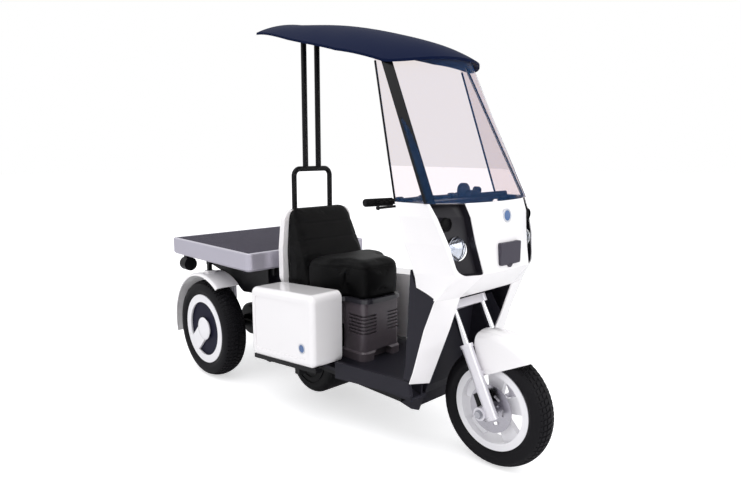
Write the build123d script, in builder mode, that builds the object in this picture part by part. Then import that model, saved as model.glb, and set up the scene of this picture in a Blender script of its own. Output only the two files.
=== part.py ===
# Tilting three-wheeler with a canopy and a rear cargo deck.
# Millimetres. +X is forward, +Y is left, +Z is up.
# The origin is on the ground, under the middle of the vehicle's outline.
import os
from math import cos, radians, sin

from build123d import *

os.makedirs("parts", exist_ok=True)

# Driving sizes of the whole vehicle
FRONT_AXLE_X = 860.0
REAR_AXLE_X = -793.0
FRONT_TYRE_R = 237.5
REAR_TYRE_R = 265.6
HALF_TRACK = 315.0
RAKE_DEG = 27.0
TILT_AXIS_Z = 280.0
DECK_TOP_Z = 739.0
DECK_FRONT_X = -310.0
DECK_HALF_W = 383.0
HOOP_X = -289.0
HOOP_TOP_Z = 1151.0
FRONT_END_X = FRONT_AXLE_X + FRONT_TYRE_R
RUN_CLEAR = 0.3
SHEET = 4.0

# Wheels: one tyre each, seated on its rim between two flanges
AXLE_PIN_R = 10.0
HALF_SHAFT_R = 14.0
WHEELS = [
    # name, axle x, centre y, tyre radius, half width, section height, flange height, flange y
    ("front", FRONT_AXLE_X, 0.0, FRONT_TYRE_R, 57.0, 85.1, 15.2, 38.0),
    ("rear_right", REAR_AXLE_X, -HALF_TRACK, REAR_TYRE_R, 65.0, 100.5, 22.9, 50.0),
    ("rear_left", REAR_AXLE_X, HALF_TRACK, REAR_TYRE_R, 65.0, 100.5, 22.9, 50.0),
]
for name, axle_x, centre_y, tyre_r, half_w, section_h, flange_h, flange_y in WHEELS:
    seat_r = tyre_r - section_h
    flange_r = seat_r + flange_h
    section = Plane(origin=(axle_x, centre_y, tyre_r), x_dir=(0, 0, 1), z_dir=(1, 0, 0))
    bulge_r = flange_r + 0.42 * (tyre_r - flange_r)
    shoulder_r = tyre_r - 15.0
    shoulder_w = 0.82 * half_w
    with BuildPart() as tyre:
        with BuildSketch(section):
            with BuildLine():
                Line((seat_r, -flange_y), (flange_r, -flange_y))
                ThreePointArc((flange_r, -flange_y), (bulge_r, -half_w), (shoulder_r, -shoulder_w))
                ThreePointArc((shoulder_r, -shoulder_w), (tyre_r, 0), (shoulder_r, shoulder_w))
                ThreePointArc((shoulder_r, shoulder_w), (bulge_r, half_w), (flange_r, flange_y))
                Line((flange_r, flange_y), (seat_r, flange_y))
                Line((seat_r, flange_y), (seat_r, -flange_y))
            make_face()
        revolve(axis=Axis((axle_x, centre_y, tyre_r), (0, 1, 0)))
    tyre.part.label = name + "_tyre"
    export_step(tyre.part, "parts/" + name + "_tyre.step")

# Front rim: barrel with two flanges, hub and broad cast spokes
FRONT_SEAT_R = FRONT_TYRE_R - WHEELS[0][5]
FRONT_FLANGE_R = FRONT_SEAT_R + WHEELS[0][6]
FRONT_FLANGE_Y = WHEELS[0][7]
FRONT_BARREL_R = FRONT_SEAT_R - 12.4
FRONT_HUB_R = 36.0
FRONT_HUB_HALF = 40.0
SPOKE_COUNT = 5
SPOKE_ROOT_W = 44.0
SPOKE_TIP_W = 84.0
SPOKE_T = 24.0
spoke_root_r = 0.5 * FRONT_HUB_R
spoke_tip_r = FRONT_SEAT_R - 6.0
spoke_outline = [
    (spoke_root_r, -0.5 * SPOKE_ROOT_W),
    (spoke_tip_r, -0.5 * SPOKE_TIP_W),
    (spoke_tip_r, 0.5 * SPOKE_TIP_W),
    (spoke_root_r, 0.5 * SPOKE_ROOT_W),
]
front_side = Plane(origin=(FRONT_AXLE_X, 0, FRONT_TYRE_R), x_dir=(1, 0, 0), z_dir=(0, -1, 0))
front_section = Plane(origin=(FRONT_AXLE_X, 0, FRONT_TYRE_R), x_dir=(0, 0, 1), z_dir=(1, 0, 0))
front_axis = Axis((FRONT_AXLE_X, 0, FRONT_TYRE_R), (0, 1, 0))
with BuildPart() as front_rim:
    with BuildSketch(front_section):
        with BuildLine():
            lip = FRONT_FLANGE_Y + SHEET
            Polyline(
                (FRONT_BARREL_R, -lip),
                (FRONT_FLANGE_R, -lip),
                (FRONT_FLANGE_R, -FRONT_FLANGE_Y),
                (FRONT_SEAT_R, -FRONT_FLANGE_Y),
                (FRONT_SEAT_R, FRONT_FLANGE_Y),
                (FRONT_FLANGE_R, FRONT_FLANGE_Y),
                (FRONT_FLANGE_R, lip),
                (FRONT_BARREL_R, lip),
                close=True,
            )
        make_face()
    revolve(axis=front_axis)
    with BuildSketch(front_side):
        Circle(FRONT_HUB_R)
    extrude(amount=FRONT_HUB_HALF, both=True)
    with BuildSketch(front_side):
        with PolarLocations(0, SPOKE_COUNT, start_angle=90):
            Polygon(*spoke_outline, align=None)
    extrude(amount=0.5 * SPOKE_T, both=True)
    with BuildSketch(front_side):
        Circle(AXLE_PIN_R + RUN_CLEAR)
    extrude(amount=FRONT_HUB_HALF, both=True, mode=Mode.SUBTRACT)
front_rim.part.label = "front_rim"
export_step(front_rim.part, "parts/front_rim.step")

# Front brake disc, bolted to the right end of the front hub
DISC_R = 95.0
DISC_T = 4.0
DISC_HOLE_R = 58.0
with BuildPart() as brake_disc:
    with BuildSketch(front_side.offset(FRONT_HUB_HALF)):
        Circle(DISC_R)
        Circle(AXLE_PIN_R + RUN_CLEAR, mode=Mode.SUBTRACT)
        with PolarLocations(DISC_HOLE_R, 6):
            SlotOverall(30.0, 12.0, rotation=90, mode=Mode.SUBTRACT)
    extrude(amount=DISC_T)
brake_disc.part.label = "brake_disc"
export_step(brake_disc.part, "parts/brake_disc.step")

# Rear wheels: white ring with one broad arm over a dark disc, on a half shaft
REAR_SEAT_R = REAR_TYRE_R - WHEELS[1][5]
REAR_FLANGE_R = REAR_SEAT_R + WHEELS[1][6]
REAR_FLANGE_Y = WHEELS[1][7]
REAR_BARREL_R = REAR_SEAT_R - 13.1
REAR_RING_R = REAR_BARREL_R - 5.0
ARM_W = 90.0
ARM_ANGLE = 225.0
HUB_BOSS_R = 47.0
HUB_DRUM_R = 60.0
DISC_FACE_Y = 42.0
WHEEL_DISC_T = 6.0
SHAFT_INNER_Y = 180.0
rear_side = Plane(origin=(REAR_AXLE_X, -HALF_TRACK, REAR_TYRE_R), x_dir=(1, 0, 0), z_dir=(0, -1, 0))
rear_section = Plane(origin=(REAR_AXLE_X, -HALF_TRACK, REAR_TYRE_R), x_dir=(0, 0, 1), z_dir=(1, 0, 0))
rear_lip = REAR_FLANGE_Y + 5.0
with BuildPart() as rear_rim:
    with BuildSketch(rear_section):
        with BuildLine():
            Polyline(
                (REAR_BARREL_R, -rear_lip),
                (REAR_FLANGE_R, -rear_lip),
                (REAR_FLANGE_R, -REAR_FLANGE_Y),
                (REAR_SEAT_R, -REAR_FLANGE_Y),
                (REAR_SEAT_R, REAR_FLANGE_Y),
                (REAR_FLANGE_R, REAR_FLANGE_Y),
                (REAR_FLANGE_R, rear_lip),
                (REAR_RING_R, rear_lip),
                (REAR_RING_R, REAR_FLANGE_Y),
                (REAR_BARREL_R, REAR_FLANGE_Y),
                close=True,
            )
        make_face()
    revolve(axis=Axis((REAR_AXLE_X, -HALF_TRACK, REAR_TYRE_R), (0, 1, 0)))
    with BuildSketch(rear_side.offset(DISC_FACE_Y)):
        Circle(HUB_BOSS_R)
        with PolarLocations(0, 1, start_angle=ARM_ANGLE):
            with Locations((0.5 * REAR_BARREL_R, 0)):
                Rectangle(REAR_BARREL_R, ARM_W)
    extrude(amount=rear_lip - DISC_FACE_Y)
    with BuildSketch(rear_side.offset(DISC_FACE_Y)):
        Circle(HALF_SHAFT_R)
    extrude(amount=SHAFT_INNER_Y - HALF_TRACK - DISC_FACE_Y)
    with BuildSketch(rear_side.offset(DISC_FACE_Y - WHEEL_DISC_T)):
        Circle(HUB_DRUM_R)
    extrude(amount=-(DISC_FACE_Y - WHEEL_DISC_T) - 40.0)
for name, flip in (("rear_right_rim", False), ("rear_left_rim", True)):
    with BuildPart() as rim:
        if flip:
            mirror(rear_rim.part, about=Plane.XZ)
        else:
            add(rear_rim.part)
    rim.part.label = name
    export_step(rim.part, "parts/" + name + ".step")

with BuildPart() as wheel_disc:
    with BuildSketch(rear_side.offset(DISC_FACE_Y)):
        Circle(REAR_BARREL_R)
        Circle(HALF_SHAFT_R, mode=Mode.SUBTRACT)
    extrude(amount=-WHEEL_DISC_T)
for name, flip in (("rear_right_wheel_disc", False), ("rear_left_wheel_disc", True)):
    with BuildPart() as disc:
        if flip:
            mirror(wheel_disc.part, about=Plane.XZ)
        else:
            add(wheel_disc.part)
    disc.part.label = name
    export_step(disc.part, "parts/" + name + ".step")

# Cargo deck: aluminium tray with a raised rim, load-rail holes and a mat let into its top
DECK_REAR_X = -FRONT_END_X
DECK_H = 89.0
DECK_CORNER_R = 30.0
DECK_RIM_W = 20.0
DECK_WALL = 6.0
MAT_T = 6.0
RAIL_HOLE_R = 3.5
RAIL_HOLE_INSET = 10.0
RAIL_HOLE_END = 90.0
RAIL_HOLE_DEPTH = 25.0
deck_len = DECK_FRONT_X - DECK_REAR_X
deck_mid_x = 0.5 * (DECK_FRONT_X + DECK_REAR_X)
deck_bottom_z = DECK_TOP_Z - DECK_H
hole_spacing_x = deck_len - 2 * RAIL_HOLE_END
hole_spacing_y = 2 * (DECK_HALF_W - RAIL_HOLE_INSET)
with BuildPart() as cargo_deck:
    with BuildSketch(Plane.XY.offset(deck_bottom_z)):
        with Locations((deck_mid_x, 0)):
            RectangleRounded(deck_len, 2 * DECK_HALF_W, DECK_CORNER_R)
    extrude(amount=DECK_H)
    fillet(cargo_deck.faces().sort_by(Axis.Z)[-1].edges(), 5.0)
    chamfer(cargo_deck.faces().sort_by(Axis.Z)[0].edges(), 10.0)
    with BuildSketch(Plane.XY.offset(DECK_TOP_Z - MAT_T)):
        with Locations((deck_mid_x, 0)):
            Rectangle(deck_len - 2 * DECK_RIM_W, 2 * DECK_HALF_W - 2 * DECK_RIM_W)
    extrude(amount=MAT_T, mode=Mode.SUBTRACT)
    with BuildSketch(Plane.XY.offset(deck_bottom_z + DECK_WALL)):
        with Locations((deck_mid_x, 0)):
            Rectangle(deck_len - 2 * DECK_RIM_W, 2 * DECK_HALF_W - 2 * DECK_RIM_W)
    extrude(amount=DECK_H - MAT_T - 2 * DECK_WALL, mode=Mode.SUBTRACT)
    with Locations((deck_mid_x, 0, DECK_TOP_Z)):
        with GridLocations(hole_spacing_x, hole_spacing_y, 2, 2):
            Hole(RAIL_HOLE_R, depth=RAIL_HOLE_DEPTH)
cargo_deck.part.label = "cargo_deck"
export_step(cargo_deck.part, "parts/cargo_deck.step")

with BuildPart() as deck_mat:
    with BuildSketch(Plane.XY.offset(DECK_TOP_Z - MAT_T)):
        with Locations((deck_mid_x, 0)):
            Rectangle(deck_len - 2 * DECK_RIM_W, 2 * DECK_HALF_W - 2 * DECK_RIM_W)
    extrude(amount=MAT_T)
deck_mat.part.label = "deck_mat"
export_step(deck_mat.part, "parts/deck_mat.step")

# Rear frame: two rails under the deck, cross bars, drop posts and fender outriggers
BAR = 40.0
REAR_RAIL_Y = 200.0
REAR_RAIL_Z = deck_bottom_z - 0.5 * BAR
REAR_RAIL_BACK_X = -1060.0
REAR_RAIL_FRONT_X = -330.0
POST_X = -410.0
POST_Y = 100.0
POST_BOTTOM_Z = 235.0
FENDER_GAP = 38.0
FENDER_R = REAR_TYRE_R + FENDER_GAP
FENDER_PAD_Z = REAR_TYRE_R + FENDER_R + 16.0
FENDER_PAD_Y = 320.0
rail_len = REAR_RAIL_FRONT_X - REAR_RAIL_BACK_X
rail_mid_x = 0.5 * (REAR_RAIL_FRONT_X + REAR_RAIL_BACK_X)
post_h = REAR_RAIL_Z - POST_BOTTOM_Z
outrigger_w = FENDER_PAD_Y + 10.0 - REAR_RAIL_Y
REAR_BARS = [
    # centre x, centre y, centre z, length x, length y, length z
    (rail_mid_x, REAR_RAIL_Y, REAR_RAIL_Z, rail_len, BAR, BAR),
    (rail_mid_x, -REAR_RAIL_Y, REAR_RAIL_Z, rail_len, BAR, BAR),
    (REAR_RAIL_BACK_X + 0.5 * BAR, 0, REAR_RAIL_Z, BAR, 2 * REAR_RAIL_Y, BAR),
    (REAR_AXLE_X + 0.5 * BAR, 0, REAR_RAIL_Z, BAR, 2 * REAR_RAIL_Y, BAR),
    (POST_X, 0, REAR_RAIL_Z, BAR, 2 * REAR_RAIL_Y, BAR),
    (POST_X, POST_Y, POST_BOTTOM_Z + 0.5 * post_h, BAR, BAR, post_h),
    (POST_X, -POST_Y, POST_BOTTOM_Z + 0.5 * post_h, BAR, BAR, post_h),
    (REAR_AXLE_X, REAR_RAIL_Y + 0.5 * outrigger_w, REAR_RAIL_Z, 30, outrigger_w, 24),
    (REAR_AXLE_X, -REAR_RAIL_Y - 0.5 * outrigger_w, REAR_RAIL_Z, 30, outrigger_w, 24),
]
outrigger_post_h = REAR_RAIL_Z - FENDER_PAD_Z
plate_h = 120.0
with BuildPart() as rear_frame:
    for x, y, z, lx, ly, lz in REAR_BARS:
        with Locations((x, y, z)):
            Box(lx, ly, lz)
    with Locations((REAR_AXLE_X, 0, FENDER_PAD_Z + 0.5 * outrigger_post_h)):
        with GridLocations(1, 2 * FENDER_PAD_Y, 1, 2):
            Box(20, 20, outrigger_post_h)
    with Locations((REAR_RAIL_BACK_X - 3.0, 0, REAR_RAIL_Z - 0.5 * plate_h + 20.0)):
        Box(6, 170, plate_h)
rear_frame.part.label = "rear_frame"
export_step(rear_frame.part, "parts/rear_frame.step")
# Case under the deck's front: a dark box hung between the rails, round the drop posts
CASE_FRONT_X = -345.0
CASE_BACK_X = -700.0
CASE_BOX_HALF_W = 170.0
CASE_BOTTOM_Z = 470.0
with BuildPart() as under_deck_case:
    with Locations((0.5 * (CASE_FRONT_X + CASE_BACK_X), 0, 0.5 * (CASE_BOTTOM_Z + deck_bottom_z))):
        Box(CASE_FRONT_X - CASE_BACK_X, 2 * CASE_BOX_HALF_W, deck_bottom_z - CASE_BOTTOM_Z)
    fillet(under_deck_case.edges().filter_by(Axis.Y).group_by(Axis.Z)[0], 12.0)
    add(rear_frame.part, mode=Mode.SUBTRACT)
under_deck_case.part.label = "under_deck_case"
export_step(under_deck_case.part, "parts/under_deck_case.step")
# Tilt housing: bearing barrel between the drop posts, open to the front for the pivot shaft
PIVOT_R = 20.0
HOUSING_R = 45.0
HOUSING_FRONT_X = -335.0
HOUSING_BACK_X = -480.0
PIVOT_END_X = -470.0
housing_plane = Plane(origin=(HOUSING_BACK_X, 0, TILT_AXIS_Z), x_dir=(0, 1, 0), z_dir=(1, 0, 0))
with BuildPart() as tilt_housing:
    with BuildSketch(housing_plane):
        Circle(HOUSING_R)
    extrude(amount=HOUSING_FRONT_X - HOUSING_BACK_X)
    with Locations((POST_X, 0, TILT_AXIS_Z)):
        Box(BAR, 2 * (POST_Y - 0.5 * BAR), 50)
    with BuildSketch(housing_plane.offset(8.0)):
        Circle(PIVOT_R + RUN_CLEAR)
    extrude(amount=HOUSING_FRONT_X - HOUSING_BACK_X, mode=Mode.SUBTRACT)
tilt_housing.part.label = "tilt_housing"
export_step(tilt_housing.part, "parts/tilt_housing.step")

# Rear axle: gear case and motor, two tubes, trailing arms to the drop posts and spring seats
TUBE_R = 32.0
TUBE_END_Y = 236.0
CASE_R = 92.0
CASE_HALF_W = 85.0
ARM_T = 22.0
SHOCK_Y = 190.0
SHOCK_SEAT_Z = REAR_TYRE_R + TUBE_R + 8.0
arm_mid_x = 0.5 * (REAR_AXLE_X + POST_X)
arm_len = POST_X + 25.0 - REAR_AXLE_X
axle_plane = Plane(origin=(REAR_AXLE_X, 0, REAR_TYRE_R), x_dir=(1, 0, 0), z_dir=(0, -1, 0))
with BuildPart() as rear_axle:
    with BuildSketch(axle_plane):
        Circle(TUBE_R)
    extrude(amount=TUBE_END_Y, both=True)
    with BuildSketch(axle_plane):
        Circle(CASE_R)
    extrude(amount=CASE_HALF_W, both=True)
    fillet(rear_axle.edges().filter_by(GeomType.CIRCLE).filter_by(lambda e: e.radius > CASE_R - 1), 18.0)
    with Locations((arm_mid_x + 12.0, 0, REAR_TYRE_R)):
        with GridLocations(1, 2 * POST_Y + BAR + ARM_T, 1, 2):
            Box(arm_len, ARM_T, 34)
    with Locations((REAR_AXLE_X, 0, SHOCK_SEAT_Z - 20.0)):
        with GridLocations(1, 2 * SHOCK_Y, 1, 2):
            Box(56, 56, 40)
    for end_sign in (-1, 1):
        with BuildSketch(axle_plane.offset(end_sign * (SHAFT_INNER_Y - 8.0))):
            Circle(HALF_SHAFT_R + RUN_CLEAR)
        extrude(amount=end_sign * (TUBE_END_Y - SHAFT_INNER_Y + 8.0), mode=Mode.SUBTRACT)
rear_axle.part.label = "rear_axle"
export_step(rear_axle.part, "parts/rear_axle.step")

# Rear shocks between the spring seats and the rails
SHOCK_ROD_R = 12.0
SHOCK_COIL_R = 28.0
shock_top_z = REAR_RAIL_Z - 0.5 * BAR
with BuildPart() as rear_shocks:
    for side in (-1, 1):
        with BuildSketch(Plane.XY.offset(SHOCK_SEAT_Z)):
            with Locations((REAR_AXLE_X, side * SHOCK_Y)):
                Circle(SHOCK_ROD_R)
        extrude(amount=shock_top_z - SHOCK_SEAT_Z)
        with BuildSketch(Plane.XY.offset(SHOCK_SEAT_Z + 60.0)):
            with Locations((REAR_AXLE_X, side * SHOCK_Y)):
                Circle(SHOCK_COIL_R)
        extrude(amount=shock_top_z - SHOCK_SEAT_Z - 100.0)
rear_shocks.part.label = "rear_shocks"
export_step(rear_shocks.part, "parts/rear_shocks.step")

# Rear fenders: bands with rolled outer edges over the tyres, from ahead of the top down behind
FENDER_T = 5.0
FENDER_IN_Y = 248.0
FENDER_OUT_Y = 383.0
FENDER_FRONT_DEG = 56.0
FENDER_BACK_DEG = 194.0
FENDER_ROLL_R = 14.0
FENDER_LIP = 10.0
fender_r2 = FENDER_R + FENDER_T
fender_edge_r = FENDER_R - FENDER_LIP
fender_front = radians(FENDER_FRONT_DEG)
fender_section = Plane(
    origin=(REAR_AXLE_X, 0, REAR_TYRE_R),
    x_dir=(0, -1, 0),
    z_dir=(-sin(fender_front), 0, cos(fender_front)),
)
with BuildPart() as rear_fenders:
    with BuildSketch(fender_section):
        with BuildLine():
            Line((FENDER_IN_Y, FENDER_R), (FENDER_IN_Y, fender_r2))
            Line((FENDER_IN_Y, fender_r2), (FENDER_OUT_Y - FENDER_ROLL_R, fender_r2))
            RadiusArc((FENDER_OUT_Y - FENDER_ROLL_R, fender_r2), (FENDER_OUT_Y, fender_r2 - FENDER_ROLL_R), FENDER_ROLL_R)
            Line((FENDER_OUT_Y, fender_r2 - FENDER_ROLL_R), (FENDER_OUT_Y, fender_edge_r))
            Line((FENDER_OUT_Y, fender_edge_r), (FENDER_OUT_Y - FENDER_T, fender_edge_r))
            Line((FENDER_OUT_Y - FENDER_T, fender_edge_r), (FENDER_OUT_Y - FENDER_T, fender_r2 - FENDER_ROLL_R))
            RadiusArc(
                (FENDER_OUT_Y - FENDER_T, fender_r2 - FENDER_ROLL_R),
                (FENDER_OUT_Y - FENDER_ROLL_R, FENDER_R),
                -(FENDER_ROLL_R - FENDER_T),
            )
            Line((FENDER_OUT_Y - FENDER_ROLL_R, FENDER_R), (FENDER_IN_Y, FENDER_R))
        make_face()
    revolve(
        axis=Axis((REAR_AXLE_X, 0, REAR_TYRE_R), (0, -1, 0)),
        revolution_arc=FENDER_BACK_DEG - FENDER_FRONT_DEG,
    )
    with Locations((REAR_AXLE_X, -FENDER_PAD_Y, FENDER_PAD_Z - 7.0)):
        Box(40, 40, 14)
    mirror(about=Plane.XZ)
rear_fenders.part.label = "rear_fenders"
export_step(rear_fenders.part, "parts/rear_fenders.step")

# Tail lamps: round lamps hung under the deck's rear corners
LAMP_R = 38.0
TAIL_LAMP_X = DECK_REAR_X + 12.5
TAIL_LAMP_Y = 310.0
TAIL_LAMP_Z = 585.0
TAIL_LAMP_LEN = 60.0
with BuildPart() as tail_lamps:
    for side in (-1, 1):
        centre = (TAIL_LAMP_X, side * TAIL_LAMP_Y, TAIL_LAMP_Z)
        with BuildSketch(Plane(origin=centre, x_dir=(0, 1, 0), z_dir=(1, 0, 0))):
            Circle(LAMP_R)
        extrude(amount=TAIL_LAMP_LEN)
        with Locations((TAIL_LAMP_X + 35.0, side * TAIL_LAMP_Y, 0.5 * (TAIL_LAMP_Z + deck_bottom_z))):
            Box(30, 40, deck_bottom_z - TAIL_LAMP_Z)
tail_lamps.part.label = "tail_lamps"
export_step(tail_lamps.part, "parts/tail_lamps.step")

# Steering frame of reference: the axis leans back by the rake and passes this point
HEAD_X = 666.0
HEAD_Z = 620.0
rake = radians(RAKE_DEG)
steer = Plane(origin=(HEAD_X, 0, HEAD_Z), x_dir=(cos(rake), 0, sin(rake)), z_dir=(-sin(rake), 0, cos(rake)))
STEM_R = 15.0
LEG_U = 35.0
LEG_V = 92.0
YOKE_BOTTOM = -24.0
YOKE_TOP = 8.0
BAR_HEIGHT = 1031.0
BAR_W = (BAR_HEIGHT - HEAD_Z) / cos(rake)
HEAD_TUBE_LOW = 10.0
HEAD_TUBE_HIGH = 190.0

# Main frame: rails, cross members, pivot shaft, down tubes, head tube, seat and box bearers
SIDE_RAIL_Y = 211.0
SIDE_RAIL_T = 24.0
SIDE_RAIL_TOP = 262.0
SIDE_RAIL_H = 40.0
CROSS_X = HOOP_X - 1.0
CROSS_T = 26.0
CROSS_TOP = 318.0
RAIL_FRONT_X = 552.0
SEAT_BEARER_TOP = 545.0
SEAT_BEARER_Y = 150.0
SEAT_BEARER_FRONT = 50.0
BOX_BACK_X = -270.0
BOX_FRONT_X = 203.0
BOX_OUT_Y = 400.0
BOX_IN_Y = 235.0
BOX_BOTTOM_BACK_Z = 262.0
BOX_BOTTOM_FRONT_Z = 307.0
box_slope = (BOX_BOTTOM_FRONT_Z - BOX_BOTTOM_BACK_Z) / (BOX_FRONT_X - BOX_BACK_X)
rail_z = SIDE_RAIL_TOP - 0.5 * SIDE_RAIL_H
cross_h = CROSS_TOP - (SIDE_RAIL_TOP - SIDE_RAIL_H)
side_rail_len = RAIL_FRONT_X - CROSS_X
MAIN_BARS = [
    # centre x, centre y, centre z, length x, length y, length z
    (0.5 * (RAIL_FRONT_X + CROSS_X), SIDE_RAIL_Y, rail_z, side_rail_len, SIDE_RAIL_T, SIDE_RAIL_H),
    (0.5 * (RAIL_FRONT_X + CROSS_X), -SIDE_RAIL_Y, rail_z, side_rail_len, SIDE_RAIL_T, SIDE_RAIL_H),
    (CROSS_X, 0, CROSS_TOP - 0.5 * cross_h, CROSS_T, 2 * SIDE_RAIL_Y + SIDE_RAIL_T, cross_h),
    (RAIL_FRONT_X - 12, 0, rail_z, 24, 2 * SIDE_RAIL_Y + SIDE_RAIL_T, SIDE_RAIL_H),
    (CROSS_X, SEAT_BEARER_Y, 430, CROSS_T, 24, 2 * (SEAT_BEARER_TOP - 430)),
    (CROSS_X, -SEAT_BEARER_Y, 430, CROSS_T, 24, 2 * (SEAT_BEARER_TOP - 430)),
    (0.5 * (SEAT_BEARER_FRONT + CROSS_X), SEAT_BEARER_Y, SEAT_BEARER_TOP - 12, SEAT_BEARER_FRONT - CROSS_X, 24, 24),
    (0.5 * (SEAT_BEARER_FRONT + CROSS_X), -SEAT_BEARER_Y, SEAT_BEARER_TOP - 12, SEAT_BEARER_FRONT - CROSS_X, 24, 24),
]
BOX_BAR_IN_Y = 350.0
BOX_BAR_OUT_Y = 385.0
BOX_BAR_H = 20.0
OUTRIGGER_X = (-200.0, 30.0)
DOWN_TUBE_R = 13.0
DOWN_TUBES = [
    # start, end
    ((539, 60, 250), (578, 40, 600)),
    ((539, -60, 250), (578, -40, 600)),
    ((578, 40, 600), (652, 8, 690)),
    ((578, -40, 600), (652, -8, 690)),
]
head_section = steer.offset(HEAD_TUBE_LOW)
with BuildPart() as main_frame:
    for x, y, z, lx, ly, lz in MAIN_BARS:
        with Locations((x, y, z)):
            Box(lx, ly, lz)
    for start, end in DOWN_TUBES:
        run = Vector(*end) - Vector(*start)
        with BuildSketch(Plane(origin=start, z_dir=run)):
            Circle(DOWN_TUBE_R)
        extrude(amount=run.length)
        with Locations(end):
            Sphere(DOWN_TUBE_R)
    with BuildSketch(head_section):
        Circle(28.0)
    extrude(amount=HEAD_TUBE_HIGH - HEAD_TUBE_LOW)
    with BuildSketch(head_section):
        Circle(STEM_R + RUN_CLEAR)
    extrude(amount=HEAD_TUBE_HIGH - HEAD_TUBE_LOW, mode=Mode.SUBTRACT)
    with BuildSketch(Plane(origin=(CROSS_X, 0, TILT_AXIS_Z), x_dir=(0, 1, 0), z_dir=(-1, 0, 0))):
        Circle(PIVOT_R)
    extrude(amount=CROSS_X - PIVOT_END_X)
    for side in (-1, 1):
        with BuildSketch(Plane(origin=(0, side * BOX_BAR_IN_Y, 0), x_dir=(1, 0, 0), z_dir=(0, -1, 0))):
            with BuildLine():
                Polyline(
                    (BOX_BACK_X, BOX_BOTTOM_BACK_Z),
                    (BOX_FRONT_X, BOX_BOTTOM_FRONT_Z),
                    (BOX_FRONT_X, BOX_BOTTOM_FRONT_Z - BOX_BAR_H),
                    (BOX_BACK_X, BOX_BOTTOM_BACK_Z - BOX_BAR_H),
                    close=True,
                )
            make_face()
        extrude(amount=-side * (BOX_BAR_OUT_Y - BOX_BAR_IN_Y))
        for x in OUTRIGGER_X:
            top_z = BOX_BOTTOM_BACK_Z + box_slope * (x - 15.0 - BOX_BACK_X)
            reach = BOX_BAR_IN_Y + 5.0 - SIDE_RAIL_Y
            low_z = SIDE_RAIL_TOP - SIDE_RAIL_H + 8.0
            with Locations((x, side * (SIDE_RAIL_Y + 0.5 * reach), 0.5 * (top_z + low_z))):
                Box(30, reach, top_z - low_z)
main_frame.part.label = "main_frame"
export_step(main_frame.part, "parts/main_frame.step")

# Drive unit: round motor and gear casing low in the middle, with ribs on its side faces
DRIVE_X = -105.0
DRIVE_Z = 220.0
DRIVE_R = 165.0
DRIVE_HALF_W = 180.0
DRIVE_EDGE_R = 30.0
DRIVE_GROOVES = [
    # radius, width, depth
    (112.0, 10.0, 5.0),
    (82.0, 10.0, 5.0),
    (52.0, 10.0, 5.0),
]
drive_plane = Plane(origin=(DRIVE_X, 0, DRIVE_Z), x_dir=(1, 0, 0), z_dir=(0, -1, 0))
boss_reach = SIDE_RAIL_Y - 0.5 * SIDE_RAIL_T - DRIVE_HALF_W
with BuildPart() as drive_unit:
    with BuildSketch(drive_plane):
        Circle(DRIVE_R)
    extrude(amount=DRIVE_HALF_W, both=True)
    fillet(drive_unit.edges().filter_by(GeomType.CIRCLE), DRIVE_EDGE_R)
    for side in (-1, 1):
        for groove_r, groove_w, groove_d in DRIVE_GROOVES:
            with BuildSketch(drive_plane.offset(side * DRIVE_HALF_W)):
                Circle(groove_r + 0.5 * groove_w)
                Circle(groove_r - 0.5 * groove_w, mode=Mode.SUBTRACT)
            extrude(amount=-side * groove_d, mode=Mode.SUBTRACT)
    with BuildSketch(Plane(origin=(DRIVE_X, 0, rail_z), x_dir=(1, 0, 0), z_dir=(0, -1, 0))):
        Circle(18.0)
    extrude(amount=DRIVE_HALF_W + boss_reach, both=True)
drive_unit.part.label = "drive_unit"
export_step(drive_unit.part, "parts/drive_unit.step")

# Floorboard: flat tread plate between two raised side lips that climb forward
FLOOR_BACK_X = 66.0
FLOOR_FRONT_X = 640.0
FLOOR_HALF_W = 280.0
LIP_T = 18.0
FLOOR_TOP_Z = 275.0
ARCH_HALF_W = 170.0
ARCH_START_X = 556.0
BULGE_HALF_W = 95.0
BULGE_X = 522.0
LIP_POINTS = [(206.0, 315.0), (640.0, 349.0), (652.0, 287.0), (206.0, 241.0)]
with BuildPart() as floorboard:
    with Locations((0.5 * (FLOOR_BACK_X + FLOOR_FRONT_X), 0, 0.5 * (FLOOR_TOP_Z + SIDE_RAIL_TOP))):
        Box(FLOOR_FRONT_X - FLOOR_BACK_X, 2 * (FLOOR_HALF_W - LIP_T), FLOOR_TOP_Z - SIDE_RAIL_TOP)
    with BuildSketch(Plane(origin=(0, -(FLOOR_HALF_W - LIP_T), 0), x_dir=(1, 0, 0), z_dir=(0, -1, 0))):
        with BuildLine():
            Polyline(*LIP_POINTS, close=True)
        make_face()
    extrude(amount=LIP_T)
    mirror(about=Plane.XZ)
    with Locations((ARCH_START_X + 100.0, 0, FLOOR_TOP_Z)):
        Box(200.0, 2 * ARCH_HALF_W, 100.0, mode=Mode.SUBTRACT)
    with Locations((BULGE_X + SHEET + 100.0, 0, FLOOR_TOP_Z)):
        Box(200.0, 2 * (BULGE_HALF_W - SHEET), 100.0, mode=Mode.SUBTRACT)
floorboard.part.label = "floorboard"
export_step(floorboard.part, "parts/floorboard.step")

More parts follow.
